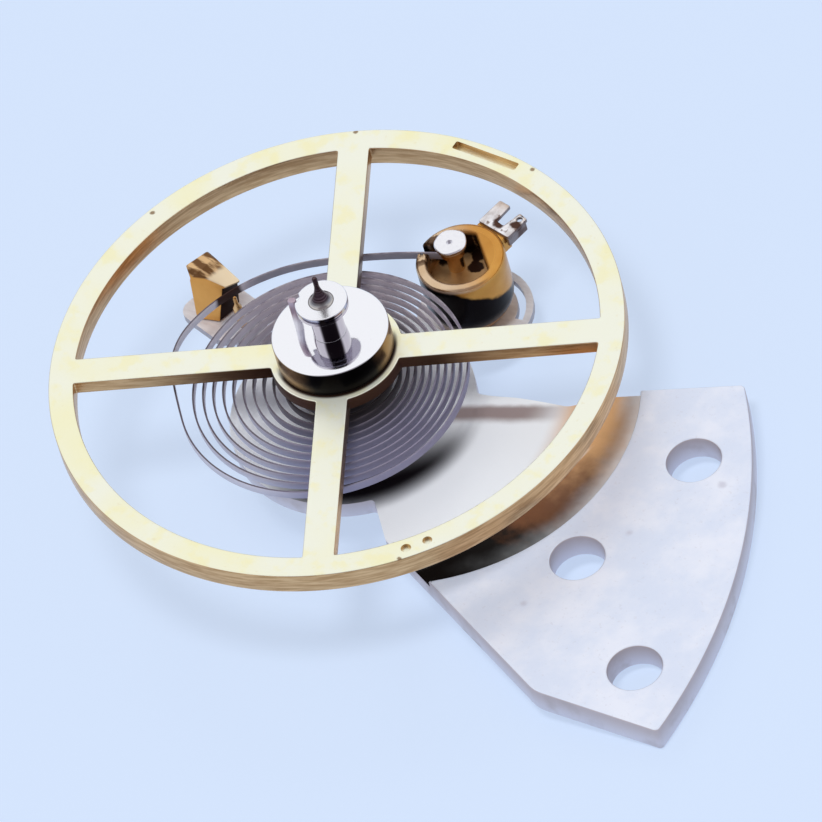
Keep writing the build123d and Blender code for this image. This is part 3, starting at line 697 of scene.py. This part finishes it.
def boot_gold():
    """Boot: a slope painted beige as light, a golden end, a brown streaked cap, and a face behind the pin
    painted nearly black as shade.
    """
    f = Finish("boot_gold")
    inward = f.toward((0.972, -0.233, 0.0)).step(0.75, 0.95)
    end = f.toward((-0.233, -0.972, 0.1)).step(0.6, 0.85)
    cap = f.z.step(boot_brown_z - 0.04, boot_brown_z)
    streak = f.noise(2.2, 3.0, place=f.stretched(1.0, 4.0, 1.0)).step(0.42, 0.6)
    clouds = f.noise(2.6, 3.0)
    beige = f.mix(clouds, (0.82, 0.62, 0.38), (0.95, 0.82, 0.60))
    golden = f.mix(clouds, (0.60, 0.26, 0.05), (0.82, 0.43, 0.11))
    brown = f.mix(streak, (0.16, 0.07, 0.02), (0.74, 0.48, 0.24))
    # Painted light: the upward slope is beige, the other faces golden.
    slope = f.upward.step(0.2, 0.5) * (1 - end)
    colour = f.mix(slope, golden, beige)
    colour = f.mix(cap, colour, brown)
    # Painted shade: the face behind the curb pin is nearly black.
    colour = f.mix(inward, colour, (0.016, 0.004, 0.002))
    return f.metal(colour, 0.30 + clouds * 0.14, f.bump(f.noise(2.0, 2.0), 9.0), 0.55 + inward * 0.45)


def stud_gold():
    """Stud: a lip with a painted beige highlight on the front left, golden elsewhere and dark patches at its
    back left; a golden side with painted shade that turns it nearly black below a slanting line; and dark
    patches in the bowl."""
    f = Finish("stud_gold")
    centre = polar(stud_distance, stud_angle)
    across = (f.x + f.y - (centre[0] + centre[1])) / DIAGONAL
    outside = f.radius(centre).step(stud_radius - 0.09, stud_radius - 0.05)
    inside = 1 - f.radius(centre).step(stud_bowl_radius + 0.02, stud_bowl_radius + 0.05)
    ripple = f.noise(3.0, 3.0)
    line = f.z + across * 0.62 + ripple * 0.20 - 1.98
    golden = f.mix(f.noise(2.0, 2.0), (0.50, 0.20, 0.03), (0.72, 0.38, 0.09))
    beige = f.mix(ripple, (0.56, 0.38, 0.22), (0.80, 0.62, 0.44))
    # Painted highlight: the lip is beige towards the front left and golden towards the right.
    lip = f.mix(across.step(-0.3, 0.5), beige, golden)
    # Dark brown patches on the back left of the lip.
    deep = (f.y - f.x - (centre[1] - centre[0])) / DIAGONAL
    dark_back_patches = deep.step(-0.1, 0.15) * (1 - across.step(-0.25, 0.15)) * f.noise(6.0, 3.0).step(0.42, 0.52)
    lip = f.mix(dark_back_patches * 0.9, lip, (0.07, 0.03, 0.015))
    # Painted shade: the side is nearly black below a slanting line.
    shade = 1 - line.step(-0.05, 0.05)
    belly = f.mix(shade, golden, (0.004, 0.002, 0.002))
    bowl = f.mix(ripple, (0.30, 0.16, 0.06), (0.72, 0.46, 0.24))
    for place, size in stud_bowl_patches:
        patch = f.radius(place) + (f.noise(5.0, 3.0) - 0.5) * 0.24
        bowl = f.mix(1 - patch.step(size, size + 0.05), bowl, (0.025, 0.010, 0.006))
    low = 1 - f.z.step(stud_top_z - 0.12, stud_top_z - 0.05)
    colour = f.mix(outside * low, lip, belly)
    colour = f.mix(inside * low, colour, bowl)
    roughness = 0.18 + ripple * 0.12 + inside * 0.2
    return f.metal(colour, roughness, f.bump(f.noise(1.8, 2.0), 7.0), 0.82 + shade * 0.18)


def sprung_steel():
    """Stamped steel arms: bright and brushed, with cut edges a little darker."""
    f = Finish("sprung_steel")
    top = f.upward.step(0.4, 0.9)
    brushed = f.noise(4.0, 2.0, place=f.stretched(1.0, 3.0, 1.0))
    colour = f.mix(brushed, (0.62, 0.60, 0.64), (0.90, 0.90, 0.94))
    colour = f.mix((1 - top) * 0.6, colour, (0.22, 0.18, 0.19))
    return f.metal(colour, 0.38 + brushed * 0.12, f.bump(brushed, 0.8), metallic=0.35)


def fork_steel():
    """Forked clip: bright steel with brown stains, dark patches at the inner end of the slot between its
    tines and beside its hole, and darker brown cut edges.
    """
    f = Finish("fork_steel")
    top = f.upward.step(0.4, 0.9)
    brushed = f.noise(5.0, 3.0)
    colour = f.mix(brushed.step(0.35, 0.65), (0.62, 0.58, 0.58), (0.92, 0.92, 0.96))
    stains = f.noise(6.5, 3.0).step(0.54, 0.62)
    colour = f.mix(stains * 0.8, colour, (0.16, 0.08, 0.05))
    # Dark patches at the inner end of the tines' slot and beside the hole.
    for reach, angle, size in clip_patches:
        patch = f.radius(polar(reach, angle)) + (f.noise(7.0, 3.0) - 0.5) * 0.14
        colour = f.mix(1 - patch.step(size, size + 0.05), colour, (0.07, 0.03, 0.02))
    colour = f.mix((1 - top) * 0.8, colour, (0.12, 0.07, 0.06))
    return f.metal(colour, 0.24 + brushed * 0.14, f.bump(brushed, 1.6), metallic=0.7)


def turned_steel():
    """Shock block: nickel-plated turning with lathe rings."""
    f = Finish("turned_steel")
    rings = f.turned_lines(0.012)
    colour = f.mix(rings, (0.66, 0.63, 0.60), (0.82, 0.80, 0.78))
    return f.metal(colour, 0.22 + rings * 0.14, f.bump(rings, 1.2))


def gilt_setting():
    """Gilt brass of the jewel's setting and the lyre spring."""
    f = Finish("gilt_setting")
    grain = f.noise(22.0, 3.0)
    colour = f.mix(grain, (0.78, 0.56, 0.26), (0.92, 0.74, 0.42))
    return f.metal(colour, 0.22 + grain * 0.14, f.bump(grain, 1.0))


def collet_brass():
    """Satin brass of the collet, with turned rings."""
    f = Finish("collet_brass")
    rings = f.turned_lines(0.016)
    colour = f.mix(rings, (0.70, 0.55, 0.30), (0.86, 0.72, 0.46))
    return f.metal(colour, 0.26 + rings * 0.12, f.bump(rings, 1.0))


def ruby():
    """Synthetic ruby: deep red body under a clear polish, paler in soft random patches."""
    f = Finish("ruby")
    depth = f.noise(4.0, 2.0)
    colour = f.mix(depth, (0.50, 0.02, 0.08), (0.78, 0.10, 0.20))
    return f.metal(colour, 0.04 + depth * 0.04, f.bump(depth, 0.4), metallic=0.0)


def impulse_ruby():
    """Impulse jewel: greyish purple, polished, and painted pale as light towards its foot."""
    f = Finish("impulse_ruby")
    depth = f.noise(6.0, 2.0)
    colour = f.mix(depth, (0.30, 0.20, 0.26), (0.55, 0.45, 0.52))
    # Painted light: pale towards its foot.
    colour = f.mix(f.z.step(roller_top_z + 0.45, roller_top_z + 0.15), colour, (0.88, 0.87, 0.94))
    return f.metal(colour, 0.06 + depth * 0.05, f.bump(depth, 0.4), metallic=0.3)


def pin_steel():
    """Stud pin: silver head over a gilt collar."""
    f = Finish("pin_steel")
    head_z = stud_pin_top_z - stud_pin_head_thickness
    head = f.z.step(head_z - 0.01, head_z + 0.01)
    grain = f.noise(20.0, 3.0)
    silver = f.mix(grain, (0.80, 0.80, 0.86), (0.92, 0.92, 0.96))
    gilt = f.mix(grain, (0.66, 0.44, 0.20), (0.85, 0.65, 0.38))
    return f.metal(f.mix(head, gilt, silver), 0.16 + grain * 0.16, f.bump(grain, 1.0))


finishes = {
    make.__name__: make()
    for make in (
        pale_gold, polished_steel, staff_steel, spring_alloy, cock_plate, copper_gold,
        sprung_steel, turned_steel, gilt_setting, collet_brass, ruby,
    )
}


def dress(piece, body, slot, nodes, finish=None):
    """Gives a new piece its material, from the finish or else from the slot's, and its body, and hides
    the nodes that it stands for.
    """
    piece.data.materials.clear()
    piece.data.materials.append(finish or finishes[slot])
    if body:
        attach(piece, body)
    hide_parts(*nodes)
    return piece


# Pieces


def wheel_window(number):
    """Opening between two spokes, clockwise: arcs of the rim and the hub, joined along the spokes."""
    half = spoke_width / 2
    start = spoke_angle + 90 * number
    outer_turn = math.degrees(math.asin(half / rim_inner_radius))
    inner_turn = math.degrees(math.asin(half / hub_radius))
    outer = arc((0, 0), rim_inner_radius, start + outer_turn, start + 90 - outer_turn, 72)
    inner = arc((0, 0), hub_radius, start + 90 - inner_turn, start + inner_turn, 40)
    return soften(np.concatenate([outer, inner]), wheel_root_radius)[::-1]


def soften(loop, reach):
    """Loop sampled at even steps and averaged along its length over a short reach, which rounds its
    corners."""
    step = 0.02
    closed = np.vstack([loop, loop[:1]])
    run = np.r_[0, np.cumsum(np.linalg.norm(np.diff(closed, axis=0), axis=1))]
    count = int(run[-1] / step)
    places = np.linspace(0, run[-1], count, endpoint=False)
    even = np.stack([np.interp(places, run, closed[:, k]) for k in (0, 1)], -1)
    width = max(1, int(reach / step / 2))
    kernel = range(-width, width + 1)
    return sum(np.roll(even, k, 0) for k in kernel) / len(kernel)


def tangent_slot(radius, angle, length, width):
    """Rounded slot across a radius, clockwise."""
    x, y = width / 2, length / 2
    corners = [(-x, -y), (x, -y), (x, y), (-x, y)]
    return turn(rounded(corners, width / 5) + (radius, 0), angle)[::-1]


def build_wheel():
    """Rim, spokes and hub: a plate with four windows over the rim's lower half, with marks cut in its
    top."""
    shell = Shell()
    middle = wheel_radius - rim_width / 2
    slot = tangent_slot(middle, poising_slot_angle, poising_slot_length, poising_slot_width)
    dimples = [circle(polar(middle, angle), radius, 24, True) for angle, radius in poising_dimples]
    outline = circle((0, 0), wheel_radius, 540)
    windows = [wheel_window(n) for n in range(4)]
    bore = circle((0, 0), wheel_bore_radius, 96, True)
    pockets = [(slot, poising_slot_depth)] + [(d, poising_dimple_depth) for d in dimples]
    shell.prism([outline, *windows, bore], spoke_z, wheel_z, 0, rim_top_edge, pockets)
    inner = circle((0, 0), rim_inner_radius, 540, True)
    shell.prism([outline, inner], rim_bottom_z, spoke_z, rim_bottom_edge, 0)
    return dress(shell.piece("wheel"), "balance", "pale_gold", ["balance_wheel"])


def build_staff():
    """Turned staff: two fine pivots, the seats, the flange, and an upper cone whose radius falls from
    that of its foot to the pivot's by (1 - t) to a power, as t grows with the height."""
    low, tip = (c.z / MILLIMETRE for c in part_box("balance_staff"))
    edge = 0.01
    cone_bottom = low + lower_pivot_length
    flange_top = spoke_z - press_gap
    flange_bottom = flange_top - staff_flange_thickness
    seat_bottom = flange_bottom - collet_seat_height
    hub = wheel_bore_radius - press_gap
    rim = staff_flange_radius - staff_edge
    pivot_bottom = tip - pivot_length
    t = np.linspace(0, 1, 14)
    cone = pivot_radius + (pivot_cone_radius - pivot_radius) * (1 - t) ** pivot_cone_hollow
    profile = np.concatenate(
        [
            [(0, low), (pivot_radius - edge, low), (pivot_radius, low + edge), (pivot_radius, cone_bottom)],
            [(staff_body_radius, cone_bottom + lower_cone_height), (staff_body_radius, seat_bottom - edge)],
            [(collet_seat_radius, seat_bottom), (collet_seat_radius, flange_bottom), (rim, flange_bottom)],
            [(staff_flange_radius, z) for z in (flange_bottom + staff_edge, flange_top - staff_edge)],
            [(rim, flange_top), (hub, flange_top), (hub, wheel_z), (staff_radius, wheel_z)],
            [(staff_radius, safety_top_z - edge)],
            np.stack([cone, safety_top_z + t * (pivot_bottom - safety_top_z)], -1),
            [(pivot_radius, pivot_bottom), (pivot_radius, tip - 0.02)],
            [(0.036, tip - 0.004), (0.02, tip), (0, tip)],
        ]
    )
    shell = Shell()
    shell.revolve(profile, 96)
    return dress(shell.piece("staff", 50), "balance", "staff_steel", ["balance_staff"])


def build_rollers():
    """Large roller, and the small roller on its flared neck. The crescent is where a ray from the axis
    meets the crescent's circle: at d cos a less the root of r squared less the square of d sin a."""
    bore = staff_radius + press_gap
    large = Shell()
    large.revolve(ring_profile(bore, roller_radius, roller_bottom_z, roller_top_z, roller_edge), 192)
    dress(large.piece("impulse_roller_disc"), "balance", "polished_steel", ["impulse_roller"])

    small = Shell()
    disc_bottom = safety_top_z - safety_thickness
    t = np.linspace(0, np.pi / 2, 8)
    falling, rising = neck_flare * (1 - np.sin(t)), neck_flare * (1 - np.cos(t))
    lower = np.stack([neck_radius + falling, neck_bottom_z + rising], -1)
    upper = np.stack([neck_radius + rising, disc_bottom - falling], -1)
    small.revolve(np.concatenate([lower, upper, [(bore, disc_bottom), (bore, neck_bottom_z)]]), 96)
    a = np.radians(np.linspace(0, 360, 240, endpoint=False))
    away = np.abs((a - math.radians(jewel_angle) + np.pi) % (2 * np.pi) - np.pi)
    inside = np.clip(crescent_radius**2 - (jewel_reach * np.sin(away)) ** 2, 0, None)
    crescent = jewel_reach * np.cos(away) - np.sqrt(inside)
    cut = np.where((inside > 0) & (away < np.pi / 2), crescent, safety_radius)
    r = np.minimum(cut, safety_radius)
    outline = np.stack([r * np.cos(a), r * np.sin(a)], -1)
    small.prism([outline, circle((0, 0), bore, 64, True)], disc_bottom, safety_top_z, 0.015, 0.02)
    dress(small.piece("safety_roller_disc"), "balance", "polished_steel", ["safety_roller"])

    pin = Shell()
    w = jewel_half_width
    section = rounded([(w, -w), (w, w), (-jewel_radius, w), (-jewel_radius, -w)], jewel_corner)
    place = turn(section, jewel_angle) + polar(jewel_reach, jewel_angle)
    pin.prism([place], roller_bottom_z, jewel_top_z, 0, 0.015)
    dress(pin.piece("impulse_pin"), "balance", "ruby", ["impulse_jewel"], impulse_ruby())


def spring_path():
    """Centre line of the hairspring, with a share of its length at each point.
    Half circles whose centres step along one line wind outwards, and tangent arcs lead on to the stud."""
    places = np.empty(2 * coil_count)
    k = np.arange(coil_count)
    places[0::2] = coil_first_radius + k * coil_pitch_narrow
    places[1::2] = -(coil_first_radius + (k + 0.5) * coil_pitch_wide)
    places[-1] = -coil_last_radius
    start, end = places[:-1], places[1:]
    sweep = np.linspace(0, np.pi, 72, endpoint=False)
    side = np.where(start > end, -1.0, 1.0)[:, None]
    centre, reach = ((start + end) / 2)[:, None], ((start - end) / 2)[:, None]
    x = centre + reach * np.cos(sweep)
    y = side * np.abs(reach) * np.sin(sweep)
    points = [np.stack([x, y], -1).reshape(-1, 2)]
    here, heading = np.array([places[-1], 0.0]), 90.0
    for radius, bend in zip(outer_bend_radii, outer_bend_turns):
        pivot = here + radius * np.array([math.sin(math.radians(heading)), -math.cos(math.radians(heading))])
        points.append(arc(pivot, radius, heading + 90, heading + 90 - bend, 49)[:-1])
        here = arc(pivot, radius, heading + 90, heading + 90 - bend, 2)[1]
        heading -= bend
    path = turn(np.concatenate([*points, here[None]]), coil_narrow_angle)
    run = np.r_[0, np.cumsum(np.linalg.norm(np.diff(path, axis=0), axis=1))]
    return path, run / run[-1], heading + coil_narrow_angle


def build_spring():
    """Strip with rounded edges, carried along the path: a point is the path's, plus the section's width
    times the path's normal, plus the section's height upwards."""
    path, share, _ = spring_path()
    ahead = np.gradient(path, axis=0)
    ahead /= np.linalg.norm(ahead, axis=1, keepdims=True)
    across = np.stack([-ahead[:, 1], ahead[:, 0]], -1)
    half, tall = strip_thickness / 2, (spring_top_z - spring_bottom_z) / 2
    section = rounded([(-half, -tall), (half, -tall), (half, tall), (-half, tall)], strip_edge, 3)
    middle = (spring_top_z + spring_bottom_z) / 2
    x = path[:, None, 0] + across[:, None, 0] * section[None, :, 0]
    y = path[:, None, 1] + across[:, None, 1] * section[None, :, 0]
    z = middle + np.broadcast_to(section[None, :, 1], x.shape)
    shell = Shell()
    n = len(section)
    last = (len(path) - 1) * n
    faces = grid_faces(len(path), n) + [list(range(n))[::-1], [last + k for k in range(n)]]
    shell.add(np.stack([x, y, z], -1).reshape(-1, 3), faces)
    spring = shell.piece("spiral_spring", 50)
    dress(spring, None, "spring_alloy", ["hairspring"])
    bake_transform(spring)
    return spring


def slotted_drum(centre, pin, heading):
    """Loop of the drum's top: round outside, a bowl with one flat side inside, and the wire's slot
    between them."""
    offset = turn([pin - centre], -(heading + 180))[0][1]
    half = stud_slot_width / 2
    left, right = offset + half, offset - half
    outer_left = math.degrees(math.asin(left / stud_radius))
    outer_right = math.degrees(math.asin(right / stud_radius))
    inner_left = math.degrees(math.asin(left / stud_bowl_radius))
    inner_right = math.degrees(math.asin(right / stud_bowl_radius))
    outer = arc((0, 0), stud_radius, outer_left, 360 + outer_right, 150)
    inner = arc((0, 0), stud_bowl_radius, 360 + inner_right, inner_left, 110)
    inner = flatten(inner, stud_flat_angle + stud_angle - heading - 180)
    return turn(np.concatenate([outer, inner]), heading + 180) + centre


def flatten(points, angle):
    """Points beyond the flat of the bowl, moved back on to it."""
    outward = polar(1, angle)
    beyond = np.clip(points @ outward - stud_flat_distance, 0, None)
    return points - beyond[:, None] * outward


def build_stud():
    """Cup-shaped stud: a turned foot with a belly that widens with the sine of its height, the bowl's
    wall, the slotted rim and the neck."""
    path, _, heading = spring_path()
    pin = path[-1]
    centre = polar(stud_distance, stud_angle)
    shell = Shell()
    t = np.linspace(0, 1, 10)
    belly = stud_foot_radius + (stud_radius - stud_foot_radius) * np.sin(t * np.pi / 2)
    stem_z = stud_foot_z - stud_stem_length
    profile = np.concatenate(
        [
            [(0, stem_z), (stud_stem_radius, stem_z), (stud_stem_radius, stud_foot_z)],
            np.stack([belly, stud_foot_z + (stud_drum_z - stud_foot_z) * t], -1),
            [(stud_radius, stud_bowl_z), (0, stud_bowl_z)],
        ]
    )
    shell.revolve(profile, 150, centre)
    outside = circle(centre, stud_radius, 150)
    bowl = flatten(circle((0, 0), stud_bowl_radius, 120), stud_flat_angle + stud_angle) + centre
    shell.prism([outside, bowl[::-1]], stud_bowl_z, stud_slot_z)
    shell.prism([slotted_drum(centre, pin, heading)], stud_slot_z, stud_top_z, 0, stud_lip_edge)
    x0, x1, y = stud_neck_inner, stud_neck_outer, stud_neck_half_width
    neck = turn(rounded([(x0, -y), (x1, -y), (x1, y), (x0, y)], 0.03), stud_angle) + centre
    shell.prism([neck], stud_neck_bottom_z, stud_neck_top_z, 0.02, 0.03)
    dress(shell.piece("stud_drum"), "stud_arm", "copper_gold", ["hairspring_stud"], stud_gold())


def build_stud_pin():
    """Pin over a round collar, with a dimpled head whose radius falls by d (1 - cos 5a) / 2, as a goes
    round."""
    path, _, _ = spring_path()
    place = path[-1]
    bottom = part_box("stud_pin")[0].z / MILLIMETRE
    head_z = stud_pin_top_z - stud_pin_head_thickness
    collar, collar_z = stud_pin_collar_radius, spring_top_z + 0.02
    shank = [(0, bottom), (stud_pin_radius, bottom), (stud_pin_radius, collar_z)]
    edge = [(collar - 0.02, collar_z), (collar, collar_z + 0.02), (collar, head_z), (0, head_z)]
    shell = Shell()
    shell.revolve(shank + edge, 64, place)
    a = np.linspace(0, 2 * np.pi, 120, endpoint=False)
    r = stud_pin_head_radius - stud_pin_facet_depth * (1 - np.cos(5 * a)) / 2
    outline = np.stack([r * np.cos(a), r * np.sin(a)], -1) + place
    dimple = circle(place + (0.0, -0.02), stud_pin_dimple_radius, 24, True)
    shell.prism([outline], head_z, stud_pin_top_z, 0.02, 0.03, [(dimple, stud_pin_dimple_depth)])
    dress(shell.piece("stud_pin_head"), "stud_arm", "polished_steel", ["stud_pin"], pin_steel())


def build_clip():
    """Forked clip: a sheet with two unlike tines and a small hole, and a cheek down each side of the
    neck. The corners are given with the stud's direction as x."""
    inner = stud_distance + stud_radius + clip_gap
    end = inner + clip_length
    low, top = (c.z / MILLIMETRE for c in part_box("stud_clip"))
    right, left = -0.40, 0.30
    fork = [
        (inner, right),
        (end - 0.06, right),
        (end - 0.03, -0.20),
        (end - 0.40, -0.15),
        (end - 0.38, 0.03),
        (end, 0.05),
        (end, left),
        (inner, left),
    ]
    shell = Shell()
    hole = circle((end - 0.14, -0.29), clip_hole_radius, 20, True)
    sheet = [turn(rounded(fork, 0.035), stud_angle), turn(hole, stud_angle)]
    shell.prism(sheet, top - clip_sheet, top, 0.012, 0.02)
    for y0, y1, reach in ((right, -0.33, end - 0.10), (0.24, left, end - 0.04)):
        cheek = rounded([(inner, y0), (reach, y0), (reach, y1), (inner, y1)], 0.02)
        shell.prism([turn(cheek, stud_angle)], low, top - clip_sheet, 0.015, 0)
    dress(shell.piece("stud_fork"), "stud_arm", "sprung_steel", ["stud_clip"], fork_steel())


def build_boot():
    """Loft through rounded four-sided levels, whose corners are (radial, tangential, height) in the
    boot's frame, over a turned post."""
    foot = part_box("regulator_index")[1].z / MILLIMETRE + boot_gap
    cap = boot_cap_z
    rise, cap_edge = foot + 0.02, cap - 0.03
    levels = [
        ((3.19, 0.13, foot), (3.55, 0.32, foot), (3.70, -0.32, foot), (3.17, -0.32, foot)),
        ((3.17, 0.14, rise), (3.57, 0.34, rise), (3.72, -0.34, rise), (3.15, -0.34, rise)),
        ((3.10, -0.05, 2.056), (3.65, 0.21, 2.12), (3.84, -0.40, 2.10), (3.04, -0.38, 2.056)),
        ((3.06, -0.09, 2.072), (3.65, 0.20, 2.14), (3.84, -0.40, 2.12), (2.94, -0.36, 2.072)),
        ((3.07, -0.09, 2.09), (3.65, 0.19, 2.17), (3.83, -0.40, 2.15), (2.95, -0.36, 2.09)),
        ((3.50, 0.10, cap_edge), (3.84, 0.08, cap_edge), (3.77, -0.39, cap_edge), (3.50, -0.36, cap_edge)),
        ((3.53, 0.07, cap), (3.81, 0.06, cap), (3.75, -0.36, cap), (3.53, -0.33, cap)),
    ]
    steps = 4
    loops = []
    for level in levels:
        corners = np.array(level)[::-1]
        loop = turn(rounded(corners[:, :2], boot_edge, steps), boot_angle)
        loops.append(np.column_stack([loop, np.repeat(corners[:, 2], steps)]))
    n = len(loops[0])
    shell = Shell()
    shell.add(np.concatenate(loops), grid_faces(len(loops), n))
    shell.cap([(loops[0], 0, False)], upwards=False)
    shell.cap([(loops[-1], (len(loops) - 1) * n, False)], upwards=True)
    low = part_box("regulator_boot")[0].z / MILLIMETRE
    rivet_top = low + boot_rivet_thickness
    r, edge = boot_rivet_radius, 0.02
    rivet = [(0, low), (r - edge, low), (r, low + edge), (r, rivet_top)]
    post = [(boot_post_radius, rivet_top), (boot_post_radius, foot), (0, foot)]
    shell.revolve(rivet + post, 48, polar(boot_distance, boot_angle))
    dress(shell.piece("boot_block", 25), "boot", "copper_gold", ["regulator_boot"], boot_gold())


def build_curb_pin():
    """Finger with a slim domed tip: its radius is r times the cosine, and its height r times the sine, of
    t."""
    low, high = (c.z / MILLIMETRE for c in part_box("curb_pin"))
    tip = curb_pin_tip_radius
    t = np.linspace(0, np.pi / 2, 8)
    dome = np.stack([tip * np.cos(t), high - tip + tip * np.sin(t)], -1)
    shoulder = spring_bottom_z - 0.12
    shank = [(0, low), (curb_pin_radius, low), (curb_pin_radius, shoulder), (tip, shoulder + 0.08)]
    shell = Shell()
    shell.revolve(np.concatenate([shank, dome[:-1], [(0, high)]]), 32, polar(*curb_pin_place))
    dress(shell.piece("curb_finger", 50), "index", "copper_gold", ["curb_pin"])


def cock_outline():
    """Outline of the cock, counter-clockwise: the foot's outer arc, the rear shoulder, the round end, the
    neck and the heel. The outer arc runs between the turns at which the movement's circle meets the
    foot's two sides."""
    sides = np.array([foot_front_y, foot_rear_y]) - movement_centre[1]
    start, end = np.degrees(np.arcsin(sides / movement_radius))
    outer = arc(movement_centre, movement_radius, start + 0.5, end - 0.6, 120)
    root_x, root_y = foot_shoulder[-1]
    root = math.degrees(math.atan2(root_y, root_x))
    round_end = arc((0, 0), cock_end_radius, root, 360 + neck_front_angle, 180)
    heel = arc(foot_heel_centre, foot_heel_radius, -112.0, -90.0, 12)
    outline = np.concatenate([outer, foot_shoulder, round_end, [neck_front], heel])
    return soften(outline, cock_corner_reach)


def inside_relief(points):
    """Whether each point lies within the relief's circle."""
    return np.linalg.norm(points - np.array(relief_centre), axis=1) < relief_radius


def foot_outline(outline):
    """Part of the cock's outline outside the relief, closed along the relief's circle."""
    keep = ~inside_relief(outline)
    first = int(np.flatnonzero(keep & ~np.roll(keep, 1))[0])
    rolled = np.roll(outline, -first, 0)
    outside = rolled[~inside_relief(rolled)]
    ends = outside[[-1, 0]] - np.array(relief_centre)
    start, end = np.degrees(np.arctan2(ends[:, 1], ends[:, 0]))
    return np.concatenate([outside, arc(relief_centre, relief_radius, start, end, 160)[1:-1]])


def build_cock():
    """Cock: the whole outline up to the arm's height, with the foot's seat on top of it."""
    outline = cock_outline()
    holes = [circle(c, cock_hole_radius, 72, True) for c in cock_holes]
    bore = circle((0, 0), cock_bore_radius, 96, True)
    shell = Shell()
    shell.prism([outline, *holes, bore], cock_z, arm_z, cock_bottom_edge, 0)
    shell.prism([foot_outline(outline), *holes], arm_z, foot_z, 0, cock_top_edge)
    dress(shell.piece("cock_plate"), "cock", "cock_plate", ["balance_cock"])


# Nodes that keep their own shape


def finish_nodes():
    """Materials for the nodes that stay, with their facets' shading smoothed between sharp edges."""
    for row in frame["record"]["subparts"]:
        node = frame["nodes"][row["node"]]
        if node.hide_render:
            continue
        node.data.materials.clear()
        node.data.materials.append(finishes[row["material_slot"]])
        node.data.shade_smooth()
        weld = node.modifiers.new("weld", "WELD")
        weld.merge_threshold = 0.0005 * MILLIMETRE
        split = node.modifiers.new("split", "EDGE_SPLIT")
        split.split_angle = math.radians(32)


# Stage


def build_table():
    """Pale table on which the part leans: a plane through the block's edge and the foot's outer edge."""
    corners = table_size * np.array([(-1, -1), (1, -1), (1, 1), (-1, 1)])
    heights = table_slope * (corners @ polar(1, table_direction) - table_touch_radius)
    table = make_piece("table", np.column_stack([corners, heights]), [(0, 1, 2, 3)])
    f = Finish("table_top")
    lit = tuple(table_lit_share * c for c in table_tone)
    shader = f.node("ShaderNodeBsdfPrincipled", {}, Base_Color=lit, Roughness=0.35, Specular_IOR_Level=0.25,
                    Emission_Color=table_tone, Emission_Strength=table_glow)
    f.close(shader, "ShaderNodeOutputMaterial")
    table.data.materials.append(f.material)


def camera_axes():
    """Right, up and forward of the camera, rolled about its line of sight."""
    a, e, roll = (math.radians(x) for x in (camera_azimuth, camera_elevation, camera_roll))
    right = Vector((math.cos(a), math.sin(a), 0))
    forward = Vector((-math.sin(a) * math.cos(e), math.cos(a) * math.cos(e), -math.sin(e)))
    up = right.cross(forward)
    return right * math.cos(roll) + up * math.sin(roll), up * math.cos(roll) - right * math.sin(roll), forward


def build_camera():
    """Camera that sees the wheel's centre at its place in the photograph."""
    right, up, forward = camera_axes()
    half = photo_size / 2
    target = Vector((0, 0, wheel_z)) * MILLIMETRE
    shift_x = (wheel_centre_x - half) / pixels_per_millimetre * MILLIMETRE
    shift_y = -(wheel_centre_y - half) / pixels_per_millimetre * MILLIMETRE
    place = target - right * shift_x - up * shift_y - forward * camera_distance * MILLIMETRE
    data = bpy.data.cameras.new("photo_camera")
    data.sensor_width = 36.0
    data.lens = data.sensor_width * pixels_per_millimetre * camera_distance / photo_size
    data.clip_start, data.clip_end = 0.02, 5.0
    camera = bpy.data.objects.new("photo_camera", data)
    matrix = Matrix((right, up, -forward)).transposed().to_4x4()
    matrix.translation = place
    camera.matrix_world = matrix
    bpy.context.scene.collection.objects.link(camera)
    bpy.context.scene.camera = camera


def softbox(name, place, size, power):
    """Square lamp that faces the part, with its place and size in millimetres."""
    data = bpy.data.lights.new(name, "AREA")
    data.size = size * MILLIMETRE
    data.energy = power
    lamp = bpy.data.objects.new(name, data)
    lamp.visible_glossy = False
    lamp.location = Vector(place) * MILLIMETRE
    lamp.rotation_euler = (-lamp.location).to_track_quat("-Z", "Y").to_euler()
    bpy.context.scene.collection.objects.link(lamp)


def build_world():
    """Even light for matt surfaces, and for mirrors a pale room with the dark of the camera's side."""
    world = bpy.data.worlds.new("room")
    bpy.context.scene.world = world
    world.use_nodes = True
    n = Network(world.node_tree)
    seen = n.node("ShaderNodeLightPath", {"output": "Is Camera Ray"})
    mirrored = n.node("ShaderNodeLightPath", {"output": "Is Glossy Ray"})
    through = n.node("ShaderNodeLightPath", {"output": "Is Transmission Ray"})
    direction = n.node("ShaderNodeTexCoord", {"output": "Generated"})
    _, _, forward = camera_axes()
    facing = {"operation": "DOT_PRODUCT", "output": "Value"}
    behind_camera = n.node("ShaderNodeVectorMath", facing, direction, tuple(-forward)).step(0.68, 0.92)
    room = n.mix(n.parts(direction)[2].step(-0.1, 0.6), room_low, room_high)
    room = n.mix(behind_camera, room, room_behind_camera)
    direct = n.mix(mirrored, room_backdrop, room)
    colour = n.mix(seen.at_least(mirrored).at_least(through), room_plain, direct)
    n.close(n.node("ShaderNodeBackground", {}, colour, 1.0), "ShaderNodeOutputWorld")


build_wheel()
build_staff()
build_rollers()
build_spring()
build_stud()
build_stud_pin()
build_clip()
build_boot()
build_curb_pin()
build_cock()
finish_nodes()
build_table()
build_camera()
softbox("overhead", (13, -51, 180), 50, 0.175)
build_world()
bpy.context.scene.view_settings.view_transform = "Standard"
